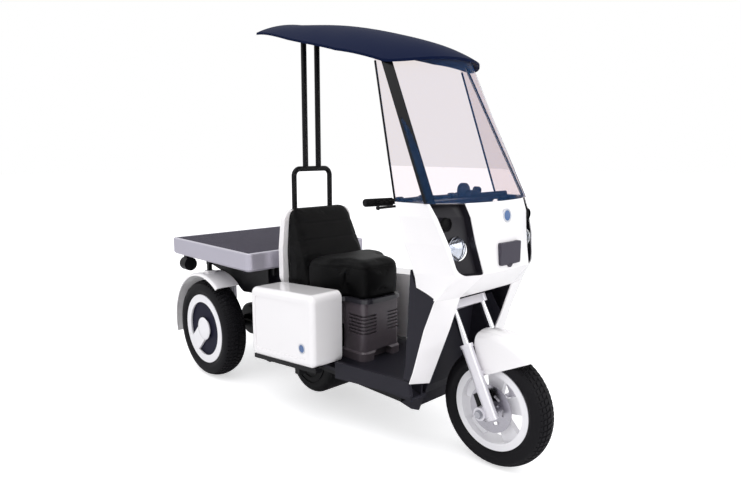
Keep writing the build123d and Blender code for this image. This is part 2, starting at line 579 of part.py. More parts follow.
# Front guard: channel behind the front wheel, running back as a wedge under the floor
GUARD_BACK = [(ARCH_START_X, 222.0), (572.0, 262.0), (588.0, 400.0), (600.0, 520.0), (610.0, 600.0)]
SHIELD_INNER = [(797.0, 693.0), (753.0, 564.0), (686.0, 395.0), (655.0, 318.0)]
SHIELD_OUTER = [(775.0, 693.0), (726.0, 573.0), (674.0, 395.0), (655.0, 345.0)]
SHIELD_T = 5.0
GUARD_LOW = [(600.0, 186.0), (560.0, 178.0), (320.0, 222.0)]
GUARD_TOP = (700.0, 640.0)
GUARD_MOUTH = [(700.0, 660.0), (830.0, 660.0), (700.0, 170.0), (562.0, 170.0)]
guard_outline = GUARD_BACK + [GUARD_TOP] + [(x - SHIELD_T, z) for x, z in SHIELD_INNER[1:]] + GUARD_LOW
guard_cavity = [(x + SHEET, z) for x, z in GUARD_BACK] + GUARD_MOUTH
side_view = Plane(origin=(0, 0, 0), x_dir=(1, 0, 0), z_dir=(0, -1, 0))
with BuildPart() as front_guard:
    with BuildSketch(side_view):
        with BuildLine():
            Polyline(*guard_outline, close=True)
        make_face()
    extrude(amount=ARCH_HALF_W, both=True)
    with BuildSketch(side_view):
        with BuildLine():
            Polyline(*guard_cavity, close=True)
        make_face()
    extrude(amount=ARCH_HALF_W - SHEET, both=True, mode=Mode.SUBTRACT)
front_guard.part.label = "front_guard"
export_step(front_guard.part, "parts/front_guard.step")

# Leg shields: white strips either side of the wheel arch, swept back at their outer edges
SHIELD_OUT_Y = 285.0
SHIELD_EDGES = [
    # distance from the middle, front edge points
    (ARCH_HALF_W, SHIELD_INNER),
    (SHIELD_OUT_Y, SHIELD_OUTER),
]
with BuildPart() as leg_shields:
    for edge_y, points in SHIELD_EDGES:
        with BuildSketch(side_view.offset(edge_y)):
            with BuildLine():
                Polyline(*points, *[(x - SHIELD_T, z) for x, z in reversed(points)], close=True)
            make_face()
    loft(ruled=True)
    mirror(about=Plane.XZ)
leg_shields.part.label = "leg_shields"
export_step(leg_shields.part, "parts/leg_shields.step")

# Leg panel: dark console behind the leg shields, with a bulge over the down tubes and side ears
PANEL_HALF_W = 280.0
PANEL_TOP_Z = 690.0
PANEL_LOW_Z = 352.0
PANEL_BACK = [(614.0, PANEL_LOW_Z), (625.0, 400.0), (641.0, PANEL_TOP_Z)]
COWL_CORNER = [(649.0, 793.0), (669.0, 744.0), (764.0, 701.0)]
EAR_T = 12.0
BULGE_PLAN = [(645.0, 205.0), (548.0, ARCH_HALF_W + SHEET), (BULGE_X, BULGE_HALF_W)]
panel_front = [(x - SHIELD_T - 0.5, z) for x, z in SHIELD_OUTER]
panel_outline = PANEL_BACK + [(panel_front[0][0] - 1.5, PANEL_TOP_Z)] + panel_front[1:3]
panel_outline = panel_outline + [(panel_front[3][0] + 1.0, PANEL_LOW_Z)]
ear_outline = [PANEL_BACK[2]] + [(x - 2.0, z - 2.0) for x, z in COWL_CORNER] + [(762.0, PANEL_TOP_Z)]
panel_cavity = [(x + SHEET, z) for x, z in ((613.0, 340.0), (625.0, 400.0), (641.7, 700.0))]
panel_cavity = panel_cavity + [(900.0, 700.0), (900.0, 340.0)]
bulge_hollow = [(x + SHEET, y - SHEET) for x, y in BULGE_PLAN]
bulge_hollow[0] = (BULGE_PLAN[0][0] + 30.0, BULGE_PLAN[0][1] + 4.0)
bulge_plan = [(x, -y) for x, y in BULGE_PLAN] + [(x, y) for x, y in reversed(BULGE_PLAN)]
bulge_hollow = [(x, -y) for x, y in bulge_hollow] + [(x, y) for x, y in reversed(bulge_hollow)]
with BuildPart() as leg_panel:
    with BuildSketch(side_view):
        with BuildLine():
            Polyline(*panel_outline, close=True)
        make_face()
    extrude(amount=PANEL_HALF_W, both=True)
    with BuildSketch(side_view):
        with BuildLine():
            Polyline(*panel_cavity, close=True)
        make_face()
    extrude(amount=PANEL_HALF_W - SHEET, both=True, mode=Mode.SUBTRACT)
    with BuildSketch(Plane.XY.offset(FLOOR_TOP_Z)):
        with BuildLine():
            Polyline(*bulge_plan, close=True)
        make_face()
    extrude(amount=PANEL_TOP_Z - FLOOR_TOP_Z)
    with BuildSketch(Plane.XY.offset(FLOOR_TOP_Z)):
        with BuildLine():
            Polyline(*bulge_hollow, close=True)
        make_face()
    extrude(amount=PANEL_TOP_Z - FLOOR_TOP_Z, mode=Mode.SUBTRACT)
    for side in (-1, 1):
        with BuildSketch(side_view.offset(side * PANEL_HALF_W)):
            with BuildLine():
                Polyline(*ear_outline, close=True)
            make_face()
        extrude(amount=-side * EAR_T)
leg_panel.part.label = "leg_panel"
export_step(leg_panel.part, "parts/leg_panel.step")

# Cowl: white nose shell, open to the rider, with a lamp recess each side
COWL_SECTIONS = [
    # z, back x, back y, side x, side y, corner x, corner y, front x
    (1045.0, 600.0, 318.0, 752.0, 306.0, 806.0, 235.0, 850.0),
    (995.0, 622.0, 322.0, 774.0, 304.0, 832.0, 210.0, 875.0),
    (900.0, 650.0, 325.0, 812.0, 282.0, 858.0, 168.0, 886.0),
    (790.0, 696.0, 312.0, 838.0, 250.0, 885.0, 148.0, 893.0),
    (693.0, 690.0, 285.0, 774.0, 283.0, 796.0, 170.0, 798.0),
]


def plan_face(z, back_x, back_y, side_x, side_y, corner_x, corner_y, front_x, inset):
    """One level of the nose, seen from above and drawn in from its outline by the inset."""
    with BuildSketch(Plane.XY.offset(z)) as level:
        with BuildLine():
            right = [
                (back_x, -(back_y - inset)),
                (side_x - 0.4 * inset, -(side_y - inset)),
                (corner_x - inset, -(corner_y - 0.4 * inset)),
            ]
            left = [(x, -y) for x, y in reversed(right)]
            Polyline(*right)
            ThreePointArc(right[2], (front_x - inset, 0), left[0])
            Polyline(*left)
            Line(left[2], right[0])
        make_face()
    return level.sketch


cowl_outer = [plan_face(*row, 0.0) for row in COWL_SECTIONS]
cowl_inner = [plan_face(row[0], row[1] - 30.0, *row[2:], SHEET) for row in COWL_SECTIONS]
RECESS_DEPTH = 30.0
LAMP_OPENING = [(188.0, 1060.0), (146.0, 788.0), (240.0, 788.0), (306.0, 1060.0)]
OPENING_INNER_R = 8.0
OPENING_OUTER_R = 45.0
RECESS_WALL = 4.0
LAMP_DEPTH = 250.0
HEADLAMP_R = 42.0
HEADLAMP_Y = 214.0
HEADLAMP_Z = 880.0
UPPER_LAMP_R = 24.0
UPPER_LAMP_Y = 258.0
UPPER_LAMP_Z = 972.0
UPPER_LAMP_X = (760.0, 798.0)
COWL_TOP_Z = COWL_SECTIONS[0][0]
nose_view = Plane(origin=(700, 0, 0), x_dir=(0, 1, 0), z_dir=(1, 0, 0))
with BuildSketch() as lamp_outline:
    with BuildLine():
        Polyline(*LAMP_OPENING, close=True)
    make_face()
    fillet(lamp_outline.vertices().group_by(Axis.Y)[0].sort_by(Axis.X)[0], OPENING_INNER_R)
    fillet(lamp_outline.vertices().group_by(Axis.Y)[0].sort_by(Axis.X)[-1], OPENING_OUTER_R)
    mirror(about=Plane.YZ)
with BuildPart() as cowl:
    loft(cowl_outer, ruled=True)
    loft(cowl_inner, ruled=True, mode=Mode.SUBTRACT)
    with BuildSketch(nose_view):
        add(lamp_outline.sketch)
    extrude(amount=LAMP_DEPTH, mode=Mode.SUBTRACT)
    with BuildSketch(side_view):
        with BuildLine():
            Polyline(*COWL_CORNER, (COWL_CORNER[2][0], 600.0), (560.0, 600.0), (560.0, COWL_CORNER[0][1]), close=True)
        make_face()
    extrude(amount=2 * PANEL_HALF_W, both=True, mode=Mode.SUBTRACT)
cowl.part.label = "cowl"
export_step(cowl.part, "parts/cowl.step")

# Lamp panels: dark lined pockets behind the openings, each with a small upper lamp and a bore
pocket_face = [plan_face(*row, RECESS_DEPTH) for row in COWL_SECTIONS]
pocket_back = [plan_face(row[0], row[1] - 30.0, *row[2:], RECESS_DEPTH + RECESS_WALL) for row in COWL_SECTIONS]
with BuildPart() as lamp_pocket:
    with BuildSketch(nose_view):
        add(lamp_outline.sketch)
    extrude(amount=LAMP_DEPTH)
    split(bisect_by=Plane.XY.offset(COWL_TOP_Z - RECESS_WALL), keep=Keep.BOTTOM)
    loft(pocket_face, ruled=True, mode=Mode.SUBTRACT)
with BuildPart() as lamp_panels:
    with BuildSketch(nose_view):
        add(lamp_outline.sketch)
        offset(amount=RECESS_WALL, kind=Kind.INTERSECTION)
    extrude(amount=LAMP_DEPTH)
    loft(cowl_inner, ruled=True, mode=Mode.INTERSECT)
    loft(pocket_back, ruled=True, mode=Mode.SUBTRACT)
    add(lamp_pocket.part, mode=Mode.SUBTRACT)
    with BuildSketch(Plane(origin=(UPPER_LAMP_X[0], 0, 0), x_dir=(0, 1, 0), z_dir=(1, 0, 0))):
        with Locations((-UPPER_LAMP_Y, UPPER_LAMP_Z), (UPPER_LAMP_Y, UPPER_LAMP_Z)):
            Circle(UPPER_LAMP_R)
    extrude(amount=UPPER_LAMP_X[1] - UPPER_LAMP_X[0])
    with BuildSketch(nose_view):
        with Locations((-HEADLAMP_Y, HEADLAMP_Z), (HEADLAMP_Y, HEADLAMP_Z)):
            Circle(HEADLAMP_R)
    extrude(amount=LAMP_DEPTH, mode=Mode.SUBTRACT)
lamp_panels.part.label = "lamp_panels"
export_step(lamp_panels.part, "parts/lamp_panels.step")

# Headlamps: clear round lenses with rounded faces, filling the bores of the lamp panels
HEADLAMP_BACK_X = 765.0
HEADLAMP_FRONT_X = 832.0
HEADLAMP_EDGE_R = 22.0
with BuildPart() as headlamps:
    with BuildSketch(Plane(origin=(HEADLAMP_BACK_X, 0, 0), x_dir=(0, 1, 0), z_dir=(1, 0, 0))):
        with Locations((-HEADLAMP_Y, HEADLAMP_Z), (HEADLAMP_Y, HEADLAMP_Z)):
            Circle(HEADLAMP_R)
    extrude(amount=HEADLAMP_FRONT_X - HEADLAMP_BACK_X)
    fillet(headlamps.edges().filter_by(GeomType.CIRCLE).group_by(Axis.X)[-1], HEADLAMP_EDGE_R)
headlamps.part.label = "headlamps"
export_step(headlamps.part, "parts/headlamps.step")

# Nose plate: flat dark plate on the nose
PLATE_W = 128.0
PLATE_H = 84.0
PLATE_Z = 853.0
PLATE_FRONT_X = 899.0
PLATE_DEPTH = 30.0
with BuildPart() as nose_plate:
    with Locations((PLATE_FRONT_X - 0.5 * PLATE_DEPTH, 0, PLATE_Z)):
        Box(PLATE_DEPTH, PLATE_W, PLATE_H)
    fillet(nose_plate.edges().filter_by(Axis.X), 8.0)
    loft(cowl_outer, ruled=True, mode=Mode.SUBTRACT)
nose_plate.part.label = "nose_plate"
export_step(nose_plate.part, "parts/nose_plate.step")

# Roof: thin crowned canopy
ROOF_T = 10.0
ROOF_SIDE_Y = 310.0
ROOF_SECTIONS = [
    # x, side z, crown z
    (-335.0, 1752.0, 1836.0),
    (-100.0, 1712.0, 1801.0),
    (150.0, 1650.0, 1755.0),
    (350.0, 1590.0, 1702.0),
    (500.0, 1520.0, 1655.0),
    (680.0, 1430.0, 1567.0),
]


def roof_face(x, side_z, crown_z, lift):
    """One crosswise slice of the roof; its lower face is one sheet down and its top is lifted."""
    with BuildSketch(Plane(origin=(x, 0, 0), x_dir=(0, 1, 0), z_dir=(1, 0, 0))) as cut:
        low = -ROOF_T
        with BuildLine():
            ThreePointArc((-ROOF_SIDE_Y, side_z + lift), (0, crown_z + lift), (ROOF_SIDE_Y, side_z + lift))
            Line((ROOF_SIDE_Y, side_z + lift), (ROOF_SIDE_Y, side_z + low))
            ThreePointArc((ROOF_SIDE_Y, side_z + low), (0, crown_z + low), (-ROOF_SIDE_Y, side_z + low))
            Line((-ROOF_SIDE_Y, side_z + low), (-ROOF_SIDE_Y, side_z + lift))
        make_face()
    return cut.sketch


ROOF_PLAN = [(-320.0, 288.0), (-60.0, 300.0), (250.0, 300.0), (480.0, 266.0)]
ROOF_NOSE_X = 662.0
ROOF_CUT_LOW_Z = 1300.0
ROOF_CUT_H = 700.0
roof_right = [(x, -y) for x, y in ROOF_PLAN]
roof_left = [(x, y) for x, y in reversed(ROOF_PLAN)]
with BuildPart() as roof:
    loft([roof_face(*row, 0.0) for row in ROOF_SECTIONS])
    with BuildSketch(Plane.XY.offset(ROOF_CUT_LOW_Z)):
        with BuildLine():
            Polyline(*roof_right)
            ThreePointArc(roof_right[-1], (ROOF_NOSE_X, 0), roof_left[0])
            Polyline(*roof_left)
            Line(roof_left[-1], roof_right[0])
        make_face()
    extrude(amount=ROOF_CUT_H, mode=Mode.INTERSECT)
roof.part.label = "roof"
export_step(roof.part, "parts/roof.step")

ABOVE_ROOF_LIFT = 300.0
with BuildPart() as above_roof:
    loft([roof_face(*row, ABOVE_ROOF_LIFT) for row in ROOF_SECTIONS])

# Seat hoop: two posts and a bent top tube behind the seat, with the roof poles standing on it
HOOP_TUBE_R = 13.0
HOOP_HALF_W = 113.5
HOOP_BEND_R = 35.0
HOOP_POST_TOP_Z = 1085.0
POLE_R = 14.0
POLE_Y = 41.0
hoop_top = HOOP_TOP_Z - HOOP_TUBE_R
with BuildPart() as seat_hoop:
    with BuildLine():
        FilletPolyline(
            (HOOP_X, -HOOP_HALF_W, HOOP_POST_TOP_Z),
            (HOOP_X, -HOOP_HALF_W, hoop_top),
            (HOOP_X, HOOP_HALF_W, hoop_top),
            (HOOP_X, HOOP_HALF_W, HOOP_POST_TOP_Z),
            radius=HOOP_BEND_R,
        )
    with BuildSketch(Plane(origin=(HOOP_X, -HOOP_HALF_W, HOOP_POST_TOP_Z))):
        Circle(HOOP_TUBE_R)
    sweep()
seat_hoop.part.label = "seat_hoop"
export_step(seat_hoop.part, "parts/seat_hoop.step")

with BuildPart() as hoop_posts:
    with BuildSketch(Plane.XY.offset(CROSS_TOP)):
        with Locations((HOOP_X, -HOOP_HALF_W), (HOOP_X, HOOP_HALF_W)):
            Circle(HOOP_TUBE_R)
    extrude(amount=HOOP_POST_TOP_Z - CROSS_TOP)
hoop_posts.part.label = "hoop_posts"
export_step(hoop_posts.part, "parts/hoop_posts.step")

POLE_REACH = 750.0
with BuildPart() as roof_poles:
    with BuildSketch(Plane.XY.offset(hoop_top)):
        with Locations((HOOP_X, -POLE_Y), (HOOP_X, POLE_Y)):
            Circle(POLE_R)
    extrude(amount=POLE_REACH)
    add(above_roof.part, mode=Mode.SUBTRACT)
    add(seat_hoop.part, mode=Mode.SUBTRACT)
roof_poles.part.label = "roof_poles"
export_step(roof_poles.part, "parts/roof_poles.step")

# Windscreen pillars: flat black strips from the cowl's shoulders to the roof, turned to the corners
PILLAR_FOOT = (756.0, 297.0, 1035.0)
PILLAR_TOP = (458.0, 244.0, 1620.0)
PILLAR_W = 40.0
PILLAR_T = 8.0
with BuildPart() as pillars:
    run = Vector(*PILLAR_TOP) - Vector(*PILLAR_FOOT)
    along = run.normalized()
    across = Vector(0.69, -0.72, 0)
    across = across - along * across.dot(along)
    with BuildSketch(Plane(origin=PILLAR_FOOT, x_dir=across, z_dir=run)):
        RectangleRounded(PILLAR_W, PILLAR_T, 3.0)
    extrude(amount=run.length)
    mirror(about=Plane.XZ)
    split(bisect_by=Plane.XY.offset(COWL_TOP_Z), keep=Keep.TOP)
    add(above_roof.part, mode=Mode.SUBTRACT)
pillars.part.label = "pillars"
export_step(pillars.part, "parts/pillars.step")

# Windscreen: one clear sheet wrapped round to a side pane each side
GLASS_SECTIONS = [
    # z, back x, back y, side x, side y, corner x, corner y, front x
    (1045.0, 600.0, 318.0, 752.0, 306.0, 806.0, 235.0, 850.0),
    (1660.0, 412.0, 258.0, 428.0, 252.0, 520.0, 165.0, 606.0),
]
glass_outer = [plan_face(*row, 0.0) for row in GLASS_SECTIONS]
glass_inner = [plan_face(row[0], row[1] - 30.0, *row[2:], SHEET) for row in GLASS_SECTIONS]
with BuildPart() as windscreen:
    loft(glass_outer, ruled=True)
    loft(glass_inner, ruled=True, mode=Mode.SUBTRACT)
    add(above_roof.part, mode=Mode.SUBTRACT)
    add(pillars.part, mode=Mode.SUBTRACT)
windscreen.part.label = "windscreen"
export_step(windscreen.part, "parts/windscreen.step")

# Dash: band across the cowl with two openings, and two round gauge pods on it
DASH_X = 672.0
DASH_T = 36.0
DASH_LOW_Z = 990.0
DASH_HIGH_Z = 1044.0
DASH_HOLES = [
    # centre y, half length, radius
    (-150.0, 75.0, 14.0),
    (215.0, 45.0, 14.0),
]
DASH_PODS = [
    # centre y, radius
    (71.0, 33.0),
    (162.0, 17.0),
]
POD_BACK_X = 618.0
POD_Z = 1040.0
with BuildPart() as dash:
    with Locations((DASH_X, 0, 0.5 * (DASH_LOW_Z + DASH_HIGH_Z))):
        Box(DASH_T, 680.0, DASH_HIGH_Z - DASH_LOW_Z)
    loft(cowl_inner, ruled=True, mode=Mode.INTERSECT)
    for centre_y, half_len, hole_r in DASH_HOLES:
        with BuildSketch(Plane(origin=(DASH_X - DASH_T, 0, 0), x_dir=(0, 1, 0), z_dir=(1, 0, 0))):
            with Locations((centre_y, 0.5 * (DASH_LOW_Z + DASH_HIGH_Z))):
                SlotOverall(2 * half_len, 2 * hole_r)
        extrude(amount=2 * DASH_T, mode=Mode.SUBTRACT)
    for centre_y, pod_r in DASH_PODS:
        with BuildSketch(Plane(origin=(POD_BACK_X, centre_y, POD_Z), x_dir=(0, 1, 0), z_dir=(1, 0, 0))):
            Circle(pod_r)
        extrude(amount=DASH_X - POD_BACK_X)
dash.part.label = "dash"
export_step(dash.part, "parts/dash.step")

# Side boxes: white lockers either side of the seat, soft edged, with a recessed side panel
BOX_TOP_BACK_Z = 594.0
BOX_TOP_FRONT_Z = 628.0
BOX_CORNER_R = 32.0
BOX_EDGE_R = 24.0
BOX_PANEL_INSET = 38.0
BOX_PANEL_R = 22.0
BOX_PANEL_DEPTH = 4.0
box_outline = [
    (BOX_BACK_X, BOX_BOTTOM_BACK_Z),
    (BOX_FRONT_X, BOX_BOTTOM_FRONT_Z),
    (BOX_FRONT_X, BOX_TOP_FRONT_Z),
    (BOX_BACK_X, BOX_TOP_BACK_Z),
]
with BuildPart() as side_boxes:
    with BuildSketch(side_view.offset(BOX_IN_Y)) as box_side:
        with BuildLine():
            Polyline(*box_outline, close=True)
        make_face()
        fillet(box_side.vertices(), BOX_CORNER_R)
    extrude(amount=BOX_OUT_Y - BOX_IN_Y)
    fillet(side_boxes.faces().sort_by(Axis.Y)[0].edges(), BOX_EDGE_R)
    with BuildSketch(side_view.offset(BOX_OUT_Y)) as panel_side:
        with BuildLine():
            Polyline(*box_outline, close=True)
        make_face()
        offset(amount=-BOX_PANEL_INSET, kind=Kind.INTERSECTION)
        fillet(panel_side.vertices(), BOX_PANEL_R)
    extrude(amount=-BOX_PANEL_DEPTH, mode=Mode.SUBTRACT)
    mirror(about=Plane.XZ)
side_boxes.part.label = "side_boxes"
export_step(side_boxes.part, "parts/side_boxes.step")

# Seat base: narrow pedestal on the floorboard, with a flared foot and louvres round its corners
PEDESTAL_BACK_X = 66.0
PEDESTAL_FRONT_X = 218.0
PEDESTAL_HALF_W = 118.0
PEDESTAL_R = 28.0
FOOT_FLARE = 8.0
FOOT_TOP_Z = 310.0
LOUVRE_LOW_Z = 400.0
LOUVRE_HIGH_Z = 497.0
LOUVRE_COUNT = 6
LOUVRE_SLOT_H = 9.0
LOUVRE_DEPTH = 10.0
LOUVRE_FROM_X = 118.0
LOUVRE_FROM_Y = 35.0
ARCH_CUT_HALF_W = 60.0
ARCH_CUT_H = 45.0
ARCH_CUT_DEPTH = 40.0
pedestal_mid_x = 0.5 * (PEDESTAL_BACK_X + PEDESTAL_FRONT_X)
pedestal_len = PEDESTAL_FRONT_X - PEDESTAL_BACK_X
foot_len = pedestal_len + 2 * FOOT_FLARE
foot_w = 2 * (PEDESTAL_HALF_W + FOOT_FLARE)
louvre_pitch = (LOUVRE_HIGH_Z - LOUVRE_LOW_Z) / LOUVRE_COUNT
louvre_x = PEDESTAL_FRONT_X - LOUVRE_FROM_X
louvre_y = PEDESTAL_HALF_W - LOUVRE_FROM_Y
with BuildPart() as seat_base:
    with BuildSketch(Plane.XY.offset(FLOOR_TOP_Z)):
        with Locations((pedestal_mid_x, 0)):
            RectangleRounded(pedestal_len, 2 * PEDESTAL_HALF_W, PEDESTAL_R)
    extrude(amount=SEAT_BEARER_TOP - FLOOR_TOP_Z)
    with BuildSketch(Plane.XY.offset(FLOOR_TOP_Z)):
        with Locations((pedestal_mid_x, 0)):
            RectangleRounded(foot_len, foot_w, PEDESTAL_R + FOOT_FLARE)
    extrude(amount=FOOT_TOP_Z - FLOOR_TOP_Z)
    with BuildSketch(Plane.XY.offset(FOOT_TOP_Z)):
        with Locations((pedestal_mid_x, 0)):
            RectangleRounded(foot_len, foot_w, PEDESTAL_R + FOOT_FLARE)
    extrude(amount=FOOT_FLARE, taper=44.0)
    for k in range(LOUVRE_COUNT):
        with BuildSketch(Plane.XY.offset(LOUVRE_LOW_Z + k * louvre_pitch)):
            with Locations((LOUVRE_FROM_X + louvre_x, 0)):
                with GridLocations(1, 2 * LOUVRE_FROM_Y + 2 * louvre_y, 1, 2):
                    Rectangle(2 * louvre_x, 2 * louvre_y)
            with Locations((pedestal_mid_x, 0)):
                RectangleRounded(
                    pedestal_len - 2 * LOUVRE_DEPTH,
                    2 * (PEDESTAL_HALF_W - LOUVRE_DEPTH),
                    PEDESTAL_R - LOUVRE_DEPTH,
                    mode=Mode.SUBTRACT,
                )
        extrude(amount=LOUVRE_SLOT_H, mode=Mode.SUBTRACT)
    with BuildSketch(Plane(origin=(PEDESTAL_FRONT_X + FOOT_FLARE, 0, 0), x_dir=(0, 1, 0), z_dir=(1, 0, 0))):
        with Locations((0, FLOOR_TOP_Z)):
            RectangleRounded(2 * ARCH_CUT_HALF_W, 2 * ARCH_CUT_H, 30.0)
    extrude(amount=-ARCH_CUT_DEPTH, mode=Mode.SUBTRACT)
seat_base.part.label = "seat_base"
export_step(seat_base.part, "parts/seat_base.step")

# Seat back: black pad, thin at its top and thick at its foot
PAN_T = 20.0
CUSHION_TOP_Z = 740.0
CUSHION_BACK_X = -98.0
BACK_TOP_Z = 952.0
SHELL_BACK_X = -274.0
SHELL_T = 6.0
SHELL_DEPTH = 34.0
seat_low_z = SEAT_BEARER_TOP + PAN_T
BACK_FRONT = [(-230.0, BACK_TOP_Z), (CUSHION_BACK_X, 684.0), (CUSHION_BACK_X, seat_low_z)]
BACK_OUTLINE = [(190.0, seat_low_z), (196.0, 747.0), (168.0, BACK_TOP_Z)]
BACK_CORNER_R = 42.0
pad_back_x = SHELL_BACK_X + SHELL_T
with BuildPart() as seat_back:
    with BuildSketch(Plane(origin=(pad_back_x, 0, 0), x_dir=(0, 1, 0), z_dir=(1, 0, 0))) as outline:
        with BuildLine():
            Polyline(*BACK_OUTLINE, *[(-y, z) for y, z in reversed(BACK_OUTLINE)], close=True)
        make_face()
        fillet(outline.vertices().group_by(Axis.Z)[-1], BACK_CORNER_R)
    extrude(amount=CUSHION_BACK_X - pad_back_x)
    with BuildSketch(side_view):
        with BuildLine():
            Polyline((pad_back_x, seat_low_z), (pad_back_x, BACK_TOP_Z), *BACK_FRONT, close=True)
        make_face()
    extrude(amount=BACK_OUTLINE[1][0], both=True, mode=Mode.INTERSECT)
seat_back.part.label = "seat_back"
export_step(seat_back.part, "parts/seat_back.step")

# Seat shell: pale pan under the cushion, turned up behind the back pad
SEAT_PLAN = [(SHELL_BACK_X, 215.0), (40.0, 215.0), (104.0, 130.0), (234.0, 120.0)]
SEAT_NOSE_R = 48.0
SHELL_TOP_Z = BACK_TOP_Z - 8.0
SHELL_OUTLINE = [(226.0, seat_low_z), (226.0, 760.0), (206.0, SHELL_TOP_Z)]
SHELL_CORNER_R = 60.0
seat_plan = [(x, -y) for x, y in SEAT_PLAN] + [(x, y) for x, y in reversed(SEAT_PLAN)]
with BuildPart() as seat_shell:
    with BuildSketch(Plane.XY.offset(SEAT_BEARER_TOP)) as pan_plan:
        with BuildLine():
            Polyline(*seat_plan, close=True)
        make_face()
        fillet(pan_plan.vertices().group_by(Axis.X)[-1], SEAT_NOSE_R)
    extrude(amount=PAN_T)
    with BuildSketch(Plane(origin=(SHELL_BACK_X, 0, 0), x_dir=(0, 1, 0), z_dir=(1, 0, 0))) as outline:
        with BuildLine():
            Polyline(*SHELL_OUTLINE, *[(-y, z) for y, z in reversed(SHELL_OUTLINE)], close=True)
        make_face()
        fillet(outline.vertices().group_by(Axis.Z)[-1], SHELL_CORNER_R)
    extrude(amount=SHELL_DEPTH)
    add(seat_back.part, mode=Mode.SUBTRACT)
seat_shell.part.label = "seat_shell"
export_step(seat_shell.part, "parts/seat_shell.step")

# Seat cushion: wide between the boxes, narrow over the pedestal
CUSHION_EDGE_R = 28.0
cushion_points = [(CUSHION_BACK_X, SEAT_PLAN[0][1])] + SEAT_PLAN[1:]
cushion_outline = [(x, -y) for x, y in cushion_points] + [(x, y) for x, y in reversed(cushion_points)]
with BuildPart() as seat_cushion:
    with BuildSketch(Plane.XY.offset(seat_low_z)) as cushion_plan:
        with BuildLine():
            Polyline(*cushion_outline, close=True)
        make_face()
        fillet(cushion_plan.vertices().group_by(Axis.X)[-1], SEAT_NOSE_R)
    extrude(amount=CUSHION_TOP_Z - seat_low_z)
    fillet(seat_cushion.faces().sort_by(Axis.Z)[-1].edges(), CUSHION_EDGE_R)
seat_cushion.part.label = "seat_cushion"
export_step(seat_cushion.part, "parts/seat_cushion.step")

# Fork yoke and stem
with BuildPart() as fork_yoke:
    with BuildSketch(steer.offset(YOKE_BOTTOM)):
        with Locations((LEG_U, 0)):
            RectangleRounded(44.0, 2 * LEG_V, 10.0)
        with Locations((LEG_U, -LEG_V), (LEG_U, LEG_V)):
            Circle(24.0)
        Circle(28.0)
        with Locations((LEG_U, -LEG_V), (LEG_U, LEG_V)):
            Circle(13.0, mode=Mode.SUBTRACT)
    extrude(amount=YOKE_TOP - YOKE_BOTTOM)
    with BuildSketch(steer.offset(YOKE_BOTTOM)):
        Circle(STEM_R)
    extrude(amount=BAR_W - 14.0 - YOKE_BOTTOM)
fork_yoke.part.label = "fork_yoke"
export_step(fork_yoke.part, "parts/fork_yoke.step")

# Fork tubes (bright) and sliders (white)
FORK_TUBE_R = 13.0
SLIDER_R = 22.5
SLIDER_TOP = -165.0
SLIDER_BOTTOM = -462.0
COLLAR_R = 26.0
COLLAR_H = 14.0
RING_R = 24.5
RING_H = 8.0
RING_ABOVE_AXLE = 105.0
CLAMP_R = 26.0
CLAMP_IN_Y = 70.0
CLAMP_OUT_Y = 118.0
FENDER_LUG = (838.0, 388.0)
FF_HALF_W = 66.0
legs = [(LEG_U, -LEG_V), (LEG_U, LEG_V)]
with BuildPart() as fork_tubes:
    with BuildSketch(steer.offset(YOKE_TOP)):
        with Locations((LEG_U, -LEG_V), (LEG_U, LEG_V)):
            Circle(FORK_TUBE_R)
    extrude(amount=SLIDER_TOP - YOKE_TOP)
fork_tubes.part.label = "fork_tubes"
export_step(fork_tubes.part, "parts/fork_tubes.step")

axle_u = (FRONT_AXLE_X - HEAD_X) * cos(rake) + (FRONT_TYRE_R - HEAD_Z) * sin(rake)
axle_w = -(FRONT_AXLE_X - HEAD_X) * sin(rake) + (FRONT_TYRE_R - HEAD_Z) * cos(rake)
SLIDER_BANDS = [
    # start along the leg, height, radius
    (SLIDER_TOP, SLIDER_TOP - SLIDER_BOTTOM, SLIDER_R),
    (SLIDER_TOP, COLLAR_H, COLLAR_R),
    (axle_w + RING_ABOVE_AXLE, RING_H, RING_R),
]
with BuildPart() as fork_sliders:
    for start_w, band_h, band_r in SLIDER_BANDS:
        with BuildSketch(steer.offset(start_w)):
            with Locations(*legs):
                Circle(band_r)
        extrude(amount=-band_h)
    with BuildSketch(steer.offset(axle_w + 20.0)):
        with Locations((0.5 * (LEG_U + axle_u), -LEG_V), (0.5 * (LEG_U + axle_u), LEG_V)):
            Rectangle(LEG_U - axle_u + 34.0, 30.0)
    extrude(amount=-40.0)
    for side in (-1, 1):
        with BuildSketch(front_side.offset(side * CLAMP_IN_Y)):
            Circle(CLAMP_R)
        extrude(amount=side * (CLAMP_OUT_Y - CLAMP_IN_Y))
        with BuildSketch(Plane(origin=(FENDER_LUG[0], 0, FENDER_LUG[1]), x_dir=(1, 0, 0), z_dir=(0, -side, 0)).offset(FF_HALF_W)):
            Circle(8.0)
        extrude(amount=LEG_V - FF_HALF_W)
    with BuildSketch(front_side):
        Circle(AXLE_PIN_R)
    extrude(amount=2 * LEG_V, both=True, mode=Mode.SUBTRACT)
fork_sliders.part.label = "fork_sliders"
export_step(fork_sliders.part, "parts/fork_sliders.step")

AXLE_PROUD = 4.0
with BuildPart() as front_axle:
    with BuildSketch(front_side):
        Circle(AXLE_PIN_R)
    extrude(amount=CLAMP_OUT_Y + AXLE_PROUD, both=True)
front_axle.part.label = "front_axle"
export_step(front_axle.part, "parts/front_axle.step")

